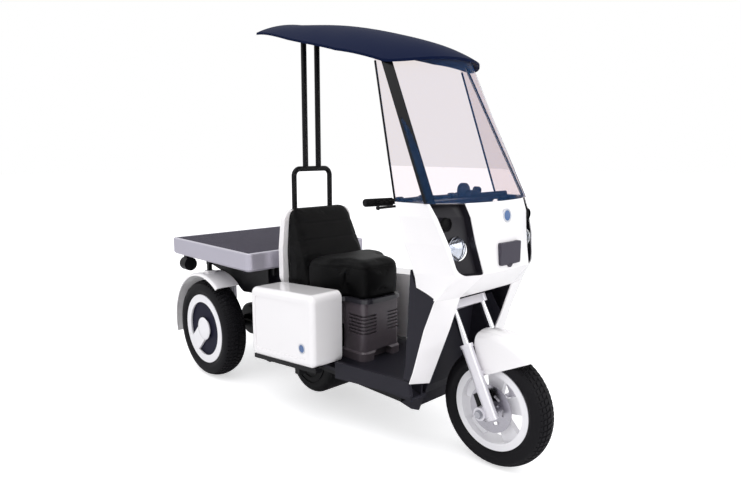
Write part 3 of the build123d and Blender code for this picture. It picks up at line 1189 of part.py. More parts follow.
# Brake caliper on the right slider, open over the disc
with BuildPart() as brake_caliper:
    caliper_w = axle_w + 72.0
    with BuildSketch(steer.offset(caliper_w)):
        with Locations((axle_u - 12.0, -(FRONT_HUB_HALF + 14.0))):
            Rectangle(46.0, 34.0)
        with Locations((axle_u + 18.0, -(FRONT_HUB_HALF + 34.0))):
            Rectangle(50.0, 18.0)
    extrude(amount=-52.0)
    add(fork_sliders.part, mode=Mode.SUBTRACT)
    with BuildSketch(front_side.offset(FRONT_HUB_HALF - 5.0)):
        Circle(DISC_R + 5.0)
    extrude(amount=DISC_T + 10.0, mode=Mode.SUBTRACT)
brake_caliper.part.label = "brake_caliper"
export_step(brake_caliper.part, "parts/brake_caliper.step")

# Front fender: crowned shell over the tyre, cut to its side outline and bolted to the sliders
FF_GAP = 66.0
FF_R = FRONT_TYRE_R + FF_GAP
FF_T = 4.0
FF_SHOULDER_R = 28.0
FF_CROWN = 6.0
FF_INNER_END_R = 120.0
FF_SIDE = [(795.0, 620.0), (795.0, 532.0), (791.0, 485.0), (827.0, 366.0), (1064.0, 484.0), (1075.0, 498.0), (1090.0, 620.0)]
ff_flat = FF_HALF_W - FF_SHOULDER_R
ff_inner_w = FF_HALF_W - FF_T
with BuildPart() as front_fender:
    with BuildSketch(front_section):
        with BuildLine():
            Line((FF_INNER_END_R, -FF_HALF_W), (FF_R - FF_SHOULDER_R, -FF_HALF_W))
            RadiusArc((FF_R - FF_SHOULDER_R, -FF_HALF_W), (FF_R, -ff_flat), -FF_SHOULDER_R)
            ThreePointArc((FF_R, -ff_flat), (FF_R + FF_CROWN, 0), (FF_R, ff_flat))
            RadiusArc((FF_R, ff_flat), (FF_R - FF_SHOULDER_R, FF_HALF_W), -FF_SHOULDER_R)
            Line((FF_R - FF_SHOULDER_R, FF_HALF_W), (FF_INNER_END_R, FF_HALF_W))
            Line((FF_INNER_END_R, FF_HALF_W), (FF_INNER_END_R, ff_inner_w))
            Line((FF_INNER_END_R, ff_inner_w), (FF_R - FF_SHOULDER_R, ff_inner_w))
            RadiusArc((FF_R - FF_SHOULDER_R, ff_inner_w), (FF_R - FF_T, ff_flat), FF_SHOULDER_R - FF_T)
            ThreePointArc((FF_R - FF_T, ff_flat), (FF_R + FF_CROWN - FF_T, 0), (FF_R - FF_T, -ff_flat))
            RadiusArc((FF_R - FF_T, -ff_flat), (FF_R - FF_SHOULDER_R, -ff_inner_w), FF_SHOULDER_R - FF_T)
            Line((FF_R - FF_SHOULDER_R, -ff_inner_w), (FF_INNER_END_R, -ff_inner_w))
            Line((FF_INNER_END_R, -ff_inner_w), (FF_INNER_END_R, -FF_HALF_W))
        make_face()
    revolve(axis=front_axis)
    with BuildSketch(side_view):
        with BuildLine():
            Polyline(*FF_SIDE, close=True)
        make_face()
    extrude(amount=2 * FF_HALF_W, both=True, mode=Mode.INTERSECT)
front_fender.part.label = "front_fender"
export_step(front_fender.part, "parts/front_fender.step")

# Handlebar, grips and brake levers
BAR_R = 11.0
BAR_HALF_W = 330.0
GRIP_IN = 205.0
GRIP_R = 16.0
STEM_CLAMP_R = 22.0
bar_centre = steer.from_local_coords(Vector(0, 0, BAR_W))
BAR_BENDS = [
    # ahead of the stem, out from the middle
    (22.0, 95.0),
    (22.0, 185.0),
]
GRIP_SWEEP = -8.0
bar_right = [(bar_centre.X + ahead, -out, bar_centre.Z) for ahead, out in BAR_BENDS]
bar_end = (bar_centre.X + GRIP_SWEEP, -(BAR_HALF_W - 4.0), bar_centre.Z)
with BuildPart() as handlebar:
    with BuildLine():
        FilletPolyline((bar_centre.X, 0, bar_centre.Z), *bar_right, bar_end, radius=30.0)
    with BuildSketch(Plane(origin=bar_centre, z_dir=Vector(*bar_right[0]) - bar_centre)):
        Circle(BAR_R)
    sweep()
    mirror(about=Plane.XZ)
    with BuildSketch(steer.offset(BAR_W - 14.0)):
        Circle(STEM_CLAMP_R)
    extrude(amount=26.0)
handlebar.part.label = "handlebar"
export_step(handlebar.part, "parts/handlebar.step")

grip_run = Vector(*bar_end) - Vector(*bar_right[1])
grip_dir = grip_run.normalized()
grip_start = Vector(*bar_right[1]) + grip_dir * (GRIP_IN - BAR_BENDS[1][1])
grip_plane = Plane(origin=grip_start, z_dir=grip_dir)
grip_len = grip_run.length + 4.0 - (GRIP_IN - BAR_BENDS[1][1])
with BuildPart() as grips:
    with BuildSketch(grip_plane):
        Circle(GRIP_R)
    extrude(amount=grip_len)
    with BuildSketch(grip_plane):
        Circle(BAR_R)
    extrude(amount=grip_len - 4.0, mode=Mode.SUBTRACT)
    mirror(about=Plane.XZ)
grips.part.label = "grips"
export_step(grips.part, "parts/grips.step")

LEVER_R = 5.0
LEVER_TIP_R = 8.5
PERCH_R = 17.0
PERCH_W = 24.0
PERCH_Y = 164.0
perch_place = (bar_right[1][0], 0, bar_centre.Z)
LEVER_POINTS = [
    # ahead of the bar, out from the middle, below the bar
    (12.0, 176.0, 6.0),
    (52.0, 196.0, 12.0),
    (32.0, 316.0, 16.0),
]
lever_path = [(bar_right[1][0] + ahead, -out, bar_centre.Z - below) for ahead, out, below in LEVER_POINTS]
with BuildPart() as brake_levers:
    with BuildLine():
        FilletPolyline(*lever_path, radius=14.0)
    with BuildSketch(Plane(origin=lever_path[0], z_dir=Vector(*lever_path[1]) - Vector(*lever_path[0]))):
        Circle(LEVER_R)
    sweep()
    with Locations(lever_path[2]):
        Sphere(LEVER_TIP_R)
    with BuildSketch(Plane(origin=perch_place, x_dir=(1, 0, 0), z_dir=(0, -1, 0)).offset(PERCH_Y - 0.5 * PERCH_W)):
        Circle(PERCH_R)
    extrude(amount=PERCH_W)
    add(handlebar.part, mode=Mode.SUBTRACT)
    mirror(about=Plane.XZ)
brake_levers.part.label = "brake_levers"
export_step(brake_levers.part, "parts/brake_levers.step")
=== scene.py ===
from math import cos, pi, radians, sin, sqrt

import bmesh
import bpy
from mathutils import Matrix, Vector
from mathutils.bvhtree import BVHTree


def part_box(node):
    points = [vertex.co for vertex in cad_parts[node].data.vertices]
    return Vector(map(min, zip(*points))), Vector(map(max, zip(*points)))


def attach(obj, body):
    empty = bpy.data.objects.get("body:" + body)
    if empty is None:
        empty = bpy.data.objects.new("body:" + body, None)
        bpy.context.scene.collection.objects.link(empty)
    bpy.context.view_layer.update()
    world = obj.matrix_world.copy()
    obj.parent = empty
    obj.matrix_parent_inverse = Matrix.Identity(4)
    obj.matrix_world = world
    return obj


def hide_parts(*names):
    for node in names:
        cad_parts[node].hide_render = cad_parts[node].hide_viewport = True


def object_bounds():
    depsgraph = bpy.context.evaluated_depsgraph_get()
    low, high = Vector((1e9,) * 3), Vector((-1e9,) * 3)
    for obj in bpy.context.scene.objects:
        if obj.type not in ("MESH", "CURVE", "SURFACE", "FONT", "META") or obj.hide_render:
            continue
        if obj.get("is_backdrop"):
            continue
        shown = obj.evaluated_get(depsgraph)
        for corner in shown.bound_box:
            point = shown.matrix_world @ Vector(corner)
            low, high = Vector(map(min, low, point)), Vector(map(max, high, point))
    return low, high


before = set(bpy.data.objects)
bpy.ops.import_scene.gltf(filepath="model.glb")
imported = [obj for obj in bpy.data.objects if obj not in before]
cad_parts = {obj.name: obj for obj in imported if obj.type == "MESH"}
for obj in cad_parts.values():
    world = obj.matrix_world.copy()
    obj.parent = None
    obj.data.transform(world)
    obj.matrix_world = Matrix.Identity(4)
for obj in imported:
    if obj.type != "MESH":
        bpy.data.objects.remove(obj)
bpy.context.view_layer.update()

# Camera: a short lens at the height of a standing person's chest, ahead and to the right of the
# three-wheeler, looking a little down along its right side.
CAMERA_PLACE = (2.142, -1.9156, 1.238)
CAMERA_TURN_DEG = 46.28
CAMERA_DOWN_DEG = 9.31
CAMERA_LENS = 29.34
camera_data = bpy.data.cameras.new("camera")
camera_data.sensor_width = 36.0
camera_data.lens = CAMERA_LENS
camera = bpy.data.objects.new("camera", camera_data)
camera.location = CAMERA_PLACE
camera.rotation_euler = (radians(90 - CAMERA_DOWN_DEG), 0, radians(CAMERA_TURN_DEG))
bpy.context.scene.collection.objects.link(camera)
bpy.context.scene.camera = camera
bpy.context.scene.view_settings.view_transform = "Standard"


def linear(hex_colour):
    """An sRGB hex colour as linear red, green, blue and 1."""
    channels = []
    for at in (1, 3, 5):
        share = int(hex_colour[at:at + 2], 16) / 255
        channels.append(share / 12.92 if share <= 0.04045 else ((share + 0.055) / 1.055) ** 2.4)
    return (*channels, 1.0)


def add_node(tree, kind, settings=None, inputs=None):
    """Adds one node: settings are its own values, inputs go by socket name or number."""
    node = tree.nodes.new(kind)
    for key, value in (settings or {}).items():
        setattr(node, key, value)
    for key, value in (inputs or {}).items():
        if isinstance(value, bpy.types.NodeSocket):
            tree.links.new(value, node.inputs[key])
        else:
            node.inputs[key].default_value = value
    return node


# Room: a pale studio with a soft ceiling box, a fill from each side and a white sweep behind. The
# floor is matt white paint; it keeps the soft shadow that the wheels and the belly throw.
FLOOR_SIZE = 60.0
FLOOR_GLOW = 0.56
ROOM_STRENGTH = 0.86
WHITE = (1, 1, 1, 1)


def either(tree, first, second):
    """1 for the rays of which one of two tests is 1."""
    return add_node(tree, "ShaderNodeMath", {"operation": "MAXIMUM"}, {0: first, 1: second}).outputs[0]


room = bpy.data.worlds.new("studio")
bpy.context.scene.world = room
room.use_nodes = True
tree = room.node_tree
tree.nodes.clear()
path = add_node(tree, "ShaderNodeLightPath").outputs
clear = either(tree, path["Is Camera Ray"], path["Is Transmission Ray"])
seen = either(tree, clear, path["Is Glossy Ray"])
soft = add_node(tree, "ShaderNodeBackground", None, {"Color": linear("#f4f4f6"), "Strength": ROOM_STRENGTH})
white = add_node(tree, "ShaderNodeBackground", None, {"Color": WHITE, "Strength": 1.0})
both = add_node(tree, "ShaderNodeMixShader", None, {0: seen, 1: soft.outputs[0], 2: white.outputs[0]})
add_node(tree, "ShaderNodeOutputWorld", None, {"Surface": both.outputs[0]})

LAMPS = [
    # name, place, target, width, power
    ("ceiling", (0.4, -1.3, 4.2), (0.1, 0, 0.4), 3.6, 70.0),
    ("front_fill", (4.2, 0.6, 2.2), (0.4, 0, 0.8), 2.4, 44.0),
    ("right_fill", (0.2, -4.4, 2.2), (0, 0, 0.7), 2.6, 14.0),
]
for name, place, target, width, power in LAMPS:
    lamp = bpy.data.lights.new(name, "AREA")
    lamp.shape = "SQUARE"
    lamp.size = width
    lamp.energy = power
    holder = bpy.data.objects.new(name, lamp)
    holder.location = place
    holder.rotation_euler = (Vector(target) - Vector(place)).to_track_quat("-Z", "Y").to_euler()
    bpy.context.scene.collection.objects.link(holder)

floor_paint = bpy.data.materials.new("white_floor_paint")
floor_paint.use_nodes = True
tree = floor_paint.node_tree
tree.nodes.clear()
path = add_node(tree, "ShaderNodeLightPath").outputs
clear = either(tree, path["Is Camera Ray"], path["Is Transmission Ray"])
matt = add_node(tree, "ShaderNodeBsdfDiffuse", None, {"Color": linear("#f4f4f5")})
glow = add_node(tree, "ShaderNodeEmission", None, {"Color": WHITE, "Strength": FLOOR_GLOW})
lit = add_node(tree, "ShaderNodeAddShader", None, {0: matt.outputs[0], 1: glow.outputs[0]})
both = add_node(tree, "ShaderNodeMixShader", None, {0: clear, 1: matt.outputs[0], 2: lit.outputs[0]})
add_node(tree, "ShaderNodeOutputMaterial", None, {"Surface": both.outputs[0]})
floor_mesh = bpy.data.meshes.new("floor")
half = 0.5 * FLOOR_SIZE
floor_mesh.from_pydata(
    [(-half, -half, 0), (half, -half, 0), (half, half, 0), (-half, half, 0)], [], [(0, 1, 2, 3)])
floor = bpy.data.objects.new("floor", floor_mesh)
floor.data.materials.append(floor_paint)
bpy.context.scene.collection.objects.link(floor)
floor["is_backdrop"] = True


CLOUD_SCALE = 6.0
ROUGHNESS_DRIFT = 0.05
COAT_ROUGHNESS = 0.06


def new_finish(name):
    """A new material, its node tree and its main shader."""
    finish = bpy.data.materials.new(name)
    finish.use_nodes = True
    return finish, finish.node_tree, finish.node_tree.nodes["Principled BSDF"]


def moulded_finish(name, colour, roughness, grain_mm=0.0, depth_mm=0.0, coat=0.0, metallic=0.0,
                   drift=0.04, sheen=0.5):
    """A finish with a slow drift of tone, a fine grain of real size in its bump, and a clear coat."""
    finish, tree, shader = new_finish(name)
    shader.inputs["Metallic"].default_value = metallic
    shader.inputs["Specular IOR Level"].default_value = sheen
    shader.inputs["Coat Weight"].default_value = coat
    shader.inputs["Coat Roughness"].default_value = COAT_ROUGHNESS
    place = add_node(tree, "ShaderNodeTexCoord")
    cloud = add_node(tree, "ShaderNodeTexNoise", None, {
        "Vector": place.outputs["Object"], "Scale": CLOUD_SCALE, "Detail": 3.0})
    base = linear(colour)
    low = tuple(c * (1 - drift) for c in base[:3]) + (1.0,)
    high = tuple(min(1.0, c * (1 + drift)) for c in base[:3]) + (1.0,)
    tone = add_node(tree, "ShaderNodeMix", {"data_type": "RGBA"}, {
        0: cloud.outputs["Fac"], 6: low, 7: high})
    tree.links.new(tone.outputs[2], shader.inputs["Base Color"])
    span = add_node(tree, "ShaderNodeMapRange", None, {
        "Value": cloud.outputs["Fac"],
        "To Min": max(0.02, roughness - ROUGHNESS_DRIFT), "To Max": roughness + ROUGHNESS_DRIFT})
    tree.links.new(span.outputs[0], shader.inputs["Roughness"])
    if grain_mm:
        grain = add_node(tree, "ShaderNodeTexNoise", None, {
            "Vector": place.outputs["Object"], "Scale": 1000.0 / grain_mm, "Detail": 2.0})
        bump = add_node(tree, "ShaderNodeBump", None, {
            "Height": grain.outputs["Fac"], "Distance": depth_mm / 1000, "Strength": 0.6})
        tree.links.new(bump.outputs[0], shader.inputs["Normal"])
    return finish


def put_finish(finish, *nodes):
    """Gives CAD nodes a finish in place of the plain one they came with."""
    for node in nodes:
        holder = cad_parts[node]
        holder.data.materials.clear()
        holder.data.materials.append(finish)


def add_piece(name, verts, faces, finish, body, slot, smooth=True, stands_for=()):
    """Makes a mesh piece with outward normals that rides on a body."""
    mesh = bpy.data.meshes.new(name)
    mesh.from_pydata([tuple(v) for v in verts], [], [tuple(f) for f in faces])
    work = bmesh.new()
    work.from_mesh(mesh)
    bmesh.ops.remove_doubles(work, verts=work.verts, dist=1e-6)
    bmesh.ops.recalc_face_normals(work, faces=work.faces)
    work.to_mesh(mesh)
    work.free()
    mesh.polygons.foreach_set("use_smooth", [smooth] * len(mesh.polygons))
    if smooth:
        mesh.set_sharp_from_angle(angle=radians(32))
    mesh.materials.append(finish)
    piece = bpy.data.objects.new(name, mesh)
    bpy.context.scene.collection.objects.link(piece)
    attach(piece, body)
    if stands_for:
        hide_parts(*stands_for)
    return piece


def turned(profile, centre, axis, steps):
    """Turns a closed profile of (along the axis, radius) points about an axis through a centre."""
    axis = Vector(axis).normalized()
    side = axis.orthogonal().normalized()
    up = axis.cross(side)
    verts, faces = [], []
    for k in range(steps):
        turn = 2 * pi * k / steps
        spoke = side * cos(turn) + up * sin(turn)
        verts += [Vector(centre) + axis * a + spoke * r for a, r in profile]
    count = len(profile)
    for k in range(steps):
        for j in range(count):
            a, b = k * count + j, k * count + (j + 1) % count
            c, d = ((k + 1) % steps) * count + (j + 1) % count, ((k + 1) % steps) * count + j
            faces.append((a, b, c, d))
    return verts, faces


def joined(*parts):
    """Puts several (verts, faces) lists into one."""
    verts, faces = [], []
    for v, f in parts:
        base = len(verts)
        verts += list(v)
        faces += [tuple(i + base for i in face) for face in f]
    return verts, faces


def tube(points, radius, sides=10, closed=False):
    """A round tube along a line of points, with flat ends unless it is closed."""
    points = [Vector(p) for p in points]
    count = len(points)
    verts, faces = [], []
    across = None
    for k, p in enumerate(points):
        before = points[k - 1] if k or closed else p
        after = points[(k + 1) % count] if k < count - 1 or closed else p
        along = (after - before).normalized()
        if across is None:
            across = along.orthogonal()
        across = (across - along * across.dot(along)).normalized()
        other = along.cross(across)
        for j in range(sides):
            turn = 2 * pi * j / sides
            verts.append(p + (across * cos(turn) + other * sin(turn)) * radius)
    for k in range(count if closed else count - 1):
        ring, following = k * sides, ((k + 1) % count) * sides
        for j in range(sides):
            beside = (j + 1) % sides
            faces.append((ring + j, ring + beside, following + beside, following + j))
    if not closed:
        faces.append(tuple(range(sides)))
        faces.append(tuple((count - 1) * sides + j for j in range(sides)))
    return verts, faces


# Finishes of the moulded and painted pieces that the frame model already shapes: glossy white panels,
# grained dark plastic, powder-coated steel and cast metal.
put_finish(moulded_finish("painted_abs_white", "#f6f4f5", 0.2, coat=0.6, drift=0.01),
           "cowl", "leg_shields", "side_boxes", "front_fender", "rear_fenders")
put_finish(moulded_finish("painted_roof_navy", "#0a1430", 0.6, sheen=0.04), "roof")
put_finish(moulded_finish("moulded_abs_dark_grey", "#24232b", 0.5, 1.5, 0.15, sheen=0.16),
           "floorboard", "leg_panel", "front_guard", "dash", "under_deck_case")
put_finish(moulded_finish("moulded_abs_seat_base", "#625a60", 0.3, 1.5, 0.1, sheen=0.45), "seat_base")
put_finish(moulded_finish("moulded_abs_nose_plate", "#423f49", 0.45, 1.2, 0.1, sheen=0.2), "nose_plate")
put_finish(moulded_finish("satin_abs_lamp_pocket", "#1e1c22", 0.35, sheen=0.2), "lamp_panels")
put_finish(moulded_finish("anodised_aluminium_deck", "#bdbac6", 0.36, 2.0, 0.05, metallic=0.55),
           "cargo_deck")
put_finish(moulded_finish("powder_coat_black", "#0a0a0d", 0.36, 1.0, 0.05, sheen=0.18),
           "main_frame", "rear_frame", "seat_hoop", "hoop_posts", "roof_poles", "tilt_housing",
           "rear_axle", "pillars", "handlebar", "brake_levers", "brake_caliper")
put_finish(moulded_finish("cast_drive_casing_black", "#08080a", 0.5, 2.5, 0.3, sheen=0.15), "drive_unit")
put_finish(moulded_finish("brushed_steel", "#b8b6bd", 0.28, metallic=1.0),
           "rear_shocks", "brake_disc", "front_axle")
put_finish(moulded_finish("wheel_enamel_white", "#f2f1f4", 0.26, coat=0.4, drift=0.01),
           "front_rim", "rear_right_rim", "rear_left_rim")
put_finish(moulded_finish("wheel_enamel_navy", "#1a1a2c", 0.5, sheen=0.08),
           "rear_right_wheel_disc", "rear_left_wheel_disc")
put_finish(moulded_finish("cast_aluminium_fork", "#dedce2", 0.3, 1.5, 0.05, metallic=0.35),
           "fork_yoke", "fork_sliders")
put_finish(moulded_finish("chromed_steel", "#e2e2e6", 0.08, metallic=1.0), "fork_tubes")

# Seat shell: the same white plastic behind the back rest and over the lockers, with the pan's nose
# over the pedestal coloured dark grey.
PAN_NOSE_FROM_X = 0.052
shell_finish = moulded_finish("painted_seat_shell", "#f6f4f5", 0.24, drift=0.01)
tree = shell_finish.node_tree
shader = tree.nodes["Principled BSDF"]
white_tone = shader.inputs["Base Color"].links[0].from_socket
place = add_node(tree, "ShaderNodeTexCoord")
split = add_node(tree, "ShaderNodeSeparateXYZ", None, {0: place.outputs["Object"]})
nose = add_node(tree, "ShaderNodeMath", {"operation": "GREATER_THAN"}, {
    0: split.outputs["X"], 1: PAN_NOSE_FROM_X})
tone = add_node(tree, "ShaderNodeMix", {"data_type": "RGBA"}, {
    0: nose.outputs[0], 6: white_tone, 7: linear("#35343a")})
tree.links.new(tone.outputs[2], shader.inputs["Base Color"])
put_finish(shell_finish, "seat_shell")

# Windscreen: one sheet of clear polycarbonate, with a little flat blue mixed over it as a painted blue
# sheen on the panes.
PAINTED_SHEEN_SHARE = 0.055
GLASS_IOR = 1.02
glass, tree, shader = new_finish("clear_polycarbonate")
shader.inputs["Base Color"].default_value = linear("#f3e9e6")
shader.inputs["Transmission Weight"].default_value = 1.0
shader.inputs["IOR"].default_value = GLASS_IOR
# Painted sheen: a lit blue diffuse layer, mixed in at a small share, stands in for a blue sheen on the
# glass.
painted_sheen = add_node(tree, "ShaderNodeBsdfDiffuse", None, {"Color": linear("#4f8ad2")})
glass_and_painted_sheen = add_node(tree, "ShaderNodeMixShader", None, {
    0: PAINTED_SHEEN_SHARE, 1: shader.outputs[0], 2: painted_sheen.outputs[0]})
tree.links.new(glass_and_painted_sheen.outputs[0], tree.nodes["Material Output"].inputs["Surface"])
place = add_node(tree, "ShaderNodeTexCoord")
haze = add_node(tree, "ShaderNodeTexNoise", None, {
    "Vector": place.outputs["Object"], "Scale": 9.0, "Detail": 4.0})
span = add_node(tree, "ShaderNodeMapRange", None, {
    "Value": haze.outputs["Fac"], "To Min": 0.01, "To Max": 0.035})
tree.links.new(span.outputs[0], shader.inputs["Roughness"])
put_finish(glass, "windscreen")

# Deck mat: a ribbed rubber sheet let into the tray. Its ribs run across the deck, 8 mm apart, and its
# colour is worn a little paler where loads slide.
MAT_RIB_MM = 8.0
MAT_RIB_DEPTH = 0.0006
mat_rubber, tree, shader = new_finish("ribbed_rubber_mat")
shader.inputs["Roughness"].default_value = 0.62
shader.inputs["Specular IOR Level"].default_value = 0.12
place = add_node(tree, "ShaderNodeTexCoord")
split = add_node(tree, "ShaderNodeSeparateXYZ", None, {0: place.outputs["Object"]})
phase = add_node(tree, "ShaderNodeMath", {"operation": "MULTIPLY"}, {
    0: split.outputs["X"], 1: 2000 * pi / MAT_RIB_MM})
ribs = add_node(tree, "ShaderNodeMath", {"operation": "SINE"}, {0: phase.outputs[0]})
bump = add_node(tree, "ShaderNodeBump", None, {
    "Height": ribs.outputs[0], "Distance": MAT_RIB_DEPTH, "Strength": 0.7})
worn = add_node(tree, "ShaderNodeTexNoise", None, {
    "Vector": place.outputs["Object"], "Scale": 7.0, "Detail": 5.0})
tone = add_node(tree, "ShaderNodeMix", {"data_type": "RGBA"}, {
    0: worn.outputs["Fac"], 6: linear("#2c2836"), 7: linear("#383443")})
tree.links.new(tone.outputs[2], shader.inputs["Base Color"])
tree.links.new(bump.outputs[0], shader.inputs["Normal"])
put_finish(mat_rubber, "deck_mat")

# Tyres: a turned carcass of black rubber with moulded sidewall ribs, and a tread of separate blocks
# with a zigzag groove between the middle rows. One pitch of blocks is set round the tyre.
TYRES = [
    # node, body, pitches, block height, groove half width, depth of the bead, flange rise and half width
    ("front_tyre", "front_wheel", 64, 0.0035, 0.0022, 0.0851, 0.0152, 0.038),
    ("rear_right_tyre", "rear_wheel_right", 68, 0.0045, 0.0030, 0.1005, 0.0229, 0.050),
    ("rear_left_tyre", "rear_wheel_left", 68, 0.0045, 0.0030, 0.1005, 0.0229, 0.050),
]
SHOULDER_DROP, SHOULDER_SHARE = 0.015, 0.82
WALL_STEPS, CROWN_STEPS, TYRE_STEPS = 12, 6, 144
WALL_RIBS, RIB_DEPTH = (3, 8), 0.0009
BLOCK_SUNK = 0.001
BLOCK_BEVEL = 0.04
tyre_rubber = moulded_finish("tyre_rubber", "#0e0d11", 0.62, 0.8, 0.15, sheen=0.16)
pitch_ring = bpy.data.node_groups.new("ring_of_pitches", "GeometryNodeTree")
for socket, kind in (("Geometry", "NodeSocketGeometry"), ("Count", "NodeSocketInt"),
                     ("Finish", "NodeSocketMaterial")):
    pitch_ring.interface.new_socket(socket, in_out="INPUT", socket_type=kind)
pitch_ring.interface.new_socket("Geometry", in_out="OUTPUT", socket_type="NodeSocketGeometry")
given = add_node(pitch_ring, "NodeGroupInput")
places = add_node(pitch_ring, "GeometryNodePoints", None, {"Count": given.outputs["Count"]})
number = add_node(pitch_ring, "GeometryNodeInputIndex")
share = add_node(pitch_ring, "ShaderNodeMath", {"operation": "DIVIDE"}, {
    0: number.outputs[0], 1: given.outputs["Count"]})
turn = add_node(pitch_ring, "ShaderNodeMath", {"operation": "MULTIPLY"}, {0: share.outputs[0], 1: 2 * pi})
spin = add_node(pitch_ring, "ShaderNodeCombineXYZ", None, {"Y": turn.outputs[0]})
copies = add_node(pitch_ring, "GeometryNodeInstanceOnPoints", None, {
    "Points": places.outputs[0], "Instance": given.outputs["Geometry"], "Rotation": spin.outputs[0]})
real = add_node(pitch_ring, "GeometryNodeRealizeInstances", None, {"Geometry": copies.outputs[0]})
painted = add_node(pitch_ring, "GeometryNodeSetMaterial", None, {
    "Geometry": real.outputs[0], "Material": given.outputs["Finish"]})
add_node(pitch_ring, "NodeGroupOutput", None, {0: painted.outputs[0]})


def as_made(holder):
    """The mesh that an object's modifiers make of it."""
    view = bpy.context.evaluated_depsgraph_get()
    return bpy.data.meshes.new_from_object(holder.evaluated_get(view))


def ring_of(name, verts, faces, count, finish):
    """Sets copies of a small mesh round the Y axis and gives them back as one plain mesh."""
    small = bpy.data.meshes.new(name)
    small.from_pydata([tuple(v) for v in verts], [], faces)
    holder = bpy.data.objects.new(name, small)
    bpy.context.scene.collection.objects.link(holder)
    ring = holder.modifiers.new("ring", "NODES")
    ring.node_group = pitch_ring
    sockets = {s.name: s.identifier for s in pitch_ring.interface.items_tree if s.in_out == "INPUT"}
    ring[sockets["Count"]] = count
    ring[sockets["Finish"]] = finish
    whole = as_made(holder)
    out = [v.co.copy() for v in whole.vertices], [tuple(p.vertices) for p in whole.polygons]
    bpy.data.objects.remove(holder)
    bpy.data.meshes.remove(whole)
    return out


def crown_r(y, tyre_r, shoulder_r, shoulder_w):
    """Radius of the tread's arc at a distance from the middle."""
    sag = tyre_r - shoulder_r
    arc = (shoulder_w ** 2 + sag ** 2) / (2 * sag)
    return tyre_r - arc + sqrt(arc ** 2 - y ** 2)


for node, body, pitches, block_h, groove, bead_depth, flange_rise, flange_y in TYRES:
    low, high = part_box(node)
    tyre_r = 0.5 * (high[2] - low[2])
    half_w = 0.5 * (high[1] - low[1])
    centre = Vector([0.5 * (a + b) for a, b in zip(low, high)])
    seat_r = tyre_r - bead_depth
    flange_r = seat_r + flange_rise
    shoulder_r, shoulder_w = tyre_r - SHOULDER_DROP, SHOULDER_SHARE * half_w
    profile = [(-flange_y, seat_r), (-flange_y, flange_r)]
    for step in range(1, WALL_STEPS):
        share = step / WALL_STEPS
        r = flange_r + (shoulder_r - flange_r) * step / WALL_STEPS
        y = (flange_y + (half_w - flange_y) * sin(pi * share * 0.98) ** 0.8
             + (shoulder_w - flange_y) * share ** 3 * 0.85)
        y = min(y, half_w) - (RIB_DEPTH if step in WALL_RIBS else 0.0)
        profile.append((-y, r))
    profile.append((-shoulder_w, shoulder_r - BLOCK_SUNK))
    wall = list(profile)
    for step in range(-CROWN_STEPS, CROWN_STEPS + 1):
        y = shoulder_w * 0.98 * step / CROWN_STEPS
        profile.append((y, crown_r(abs(y), tyre_r, shoulder_r, shoulder_w) - block_h))
    profile += [(-y, r) for y, r in reversed(wall)]
    carcass = turned(profile, centre, (0, 1, 0), TYRE_STEPS)
    pitch = 2 * pi / pitches
    blocks = [
        # y from, y to, forward lean at each end and length, as shares of the pitch
        (groove, 0.40 * shoulder_w, 0.10, 0.30, 0.74),
        (0.40 * shoulder_w + 2 * groove, 0.74 * shoulder_w, 0.30, 0.42, 0.70),
        (0.74 * shoulder_w + 2 * groove, shoulder_w, 0.42, 0.46, 0.62),
    ]
    verts, faces = [], []
    for side, shift in ((1, 0.0), (-1, 0.5)):
        for y0, y1, lean0, lean1, length in blocks:
            base = len(verts)
            for row in range(4):
                share = row / 3
                y = y0 + (y1 - y0) * share
                lean = lean0 + (lean1 - lean0) * share + shift
                top = crown_r(y, tyre_r, shoulder_r, shoulder_w)
                foot = top - block_h - BLOCK_SUNK
                for r, wide in ((foot, 0.0), (top, BLOCK_BEVEL),
                                (top, length - BLOCK_BEVEL), (foot, length)):
                    angle = (lean + wide) * pitch
                    verts.append((r * sin(angle), side * y, r * cos(angle)))
            for row in range(3):
                for column in range(3):
                    at = base + 4 * row + column
                    faces.append((at, at + 1, at + 5, at + 4))
            faces.append((base, base + 3, base + 2, base + 1))
            faces.append((base + 12, base + 13, base + 14, base + 15))
    tread = ring_of(node + "_pitch", verts, faces, pitches, tyre_rubber)
    tread = [v + centre for v in tread[0]], tread[1]
    add_piece(node + "_rubber", *joined(carcass, tread), tyre_rubber, body, "tyre", stands_for=(node,))

# Grips: black rubber sleeves with moulded rings and a flange at their inner ends, pushed over the bar.
GRIP_RINGS = 18
GRIP_INNER, GRIP_OUTER, GRIP_Z = (0.4746, 0.205), (0.4488, 0.3296), 1.031
CORE_R, SLEEVE_R, RING_R = 0.0108, 0.0148, 0.0158
RINGS_FROM, PLAIN_LENGTH = 0.008, 0.014
grip_rubber = moulded_finish("grip_rubber", "#08080a", 0.6, 0.8, 0.1, sheen=0.12)
parts = []
for side in (-1, 1):
    inner, outer = [Vector((x, side * y, GRIP_Z)) for x, y in (GRIP_INNER, GRIP_OUTER)]
    along = outer - inner
    length = along.length
    step = (length - PLAIN_LENGTH) / GRIP_RINGS
    profile = [(0.0, CORE_R), (0.0, RING_R), (0.004, RING_R), (0.006, SLEEVE_R)]
    for k in range(GRIP_RINGS):
        at = RINGS_FROM + (length - PLAIN_LENGTH) * k / GRIP_RINGS
        profile += [(at, SLEEVE_R), (at + 0.15 * step, RING_R), (at + 0.6 * step, RING_R),
                    (at + 0.75 * step, SLEEVE_R)]
    profile += [(length - 0.004, 0.0155), (length, 0.013), (length, 0.0), (length - 0.003, 0.0),
                (length - 0.003, CORE_R)]
    parts.append(turned(profile, inner, along, 40))
add_piece("grip_sleeves", *joined(*parts), grip_rubber, "steering", "grip_rubber", stands_for=("grips",))


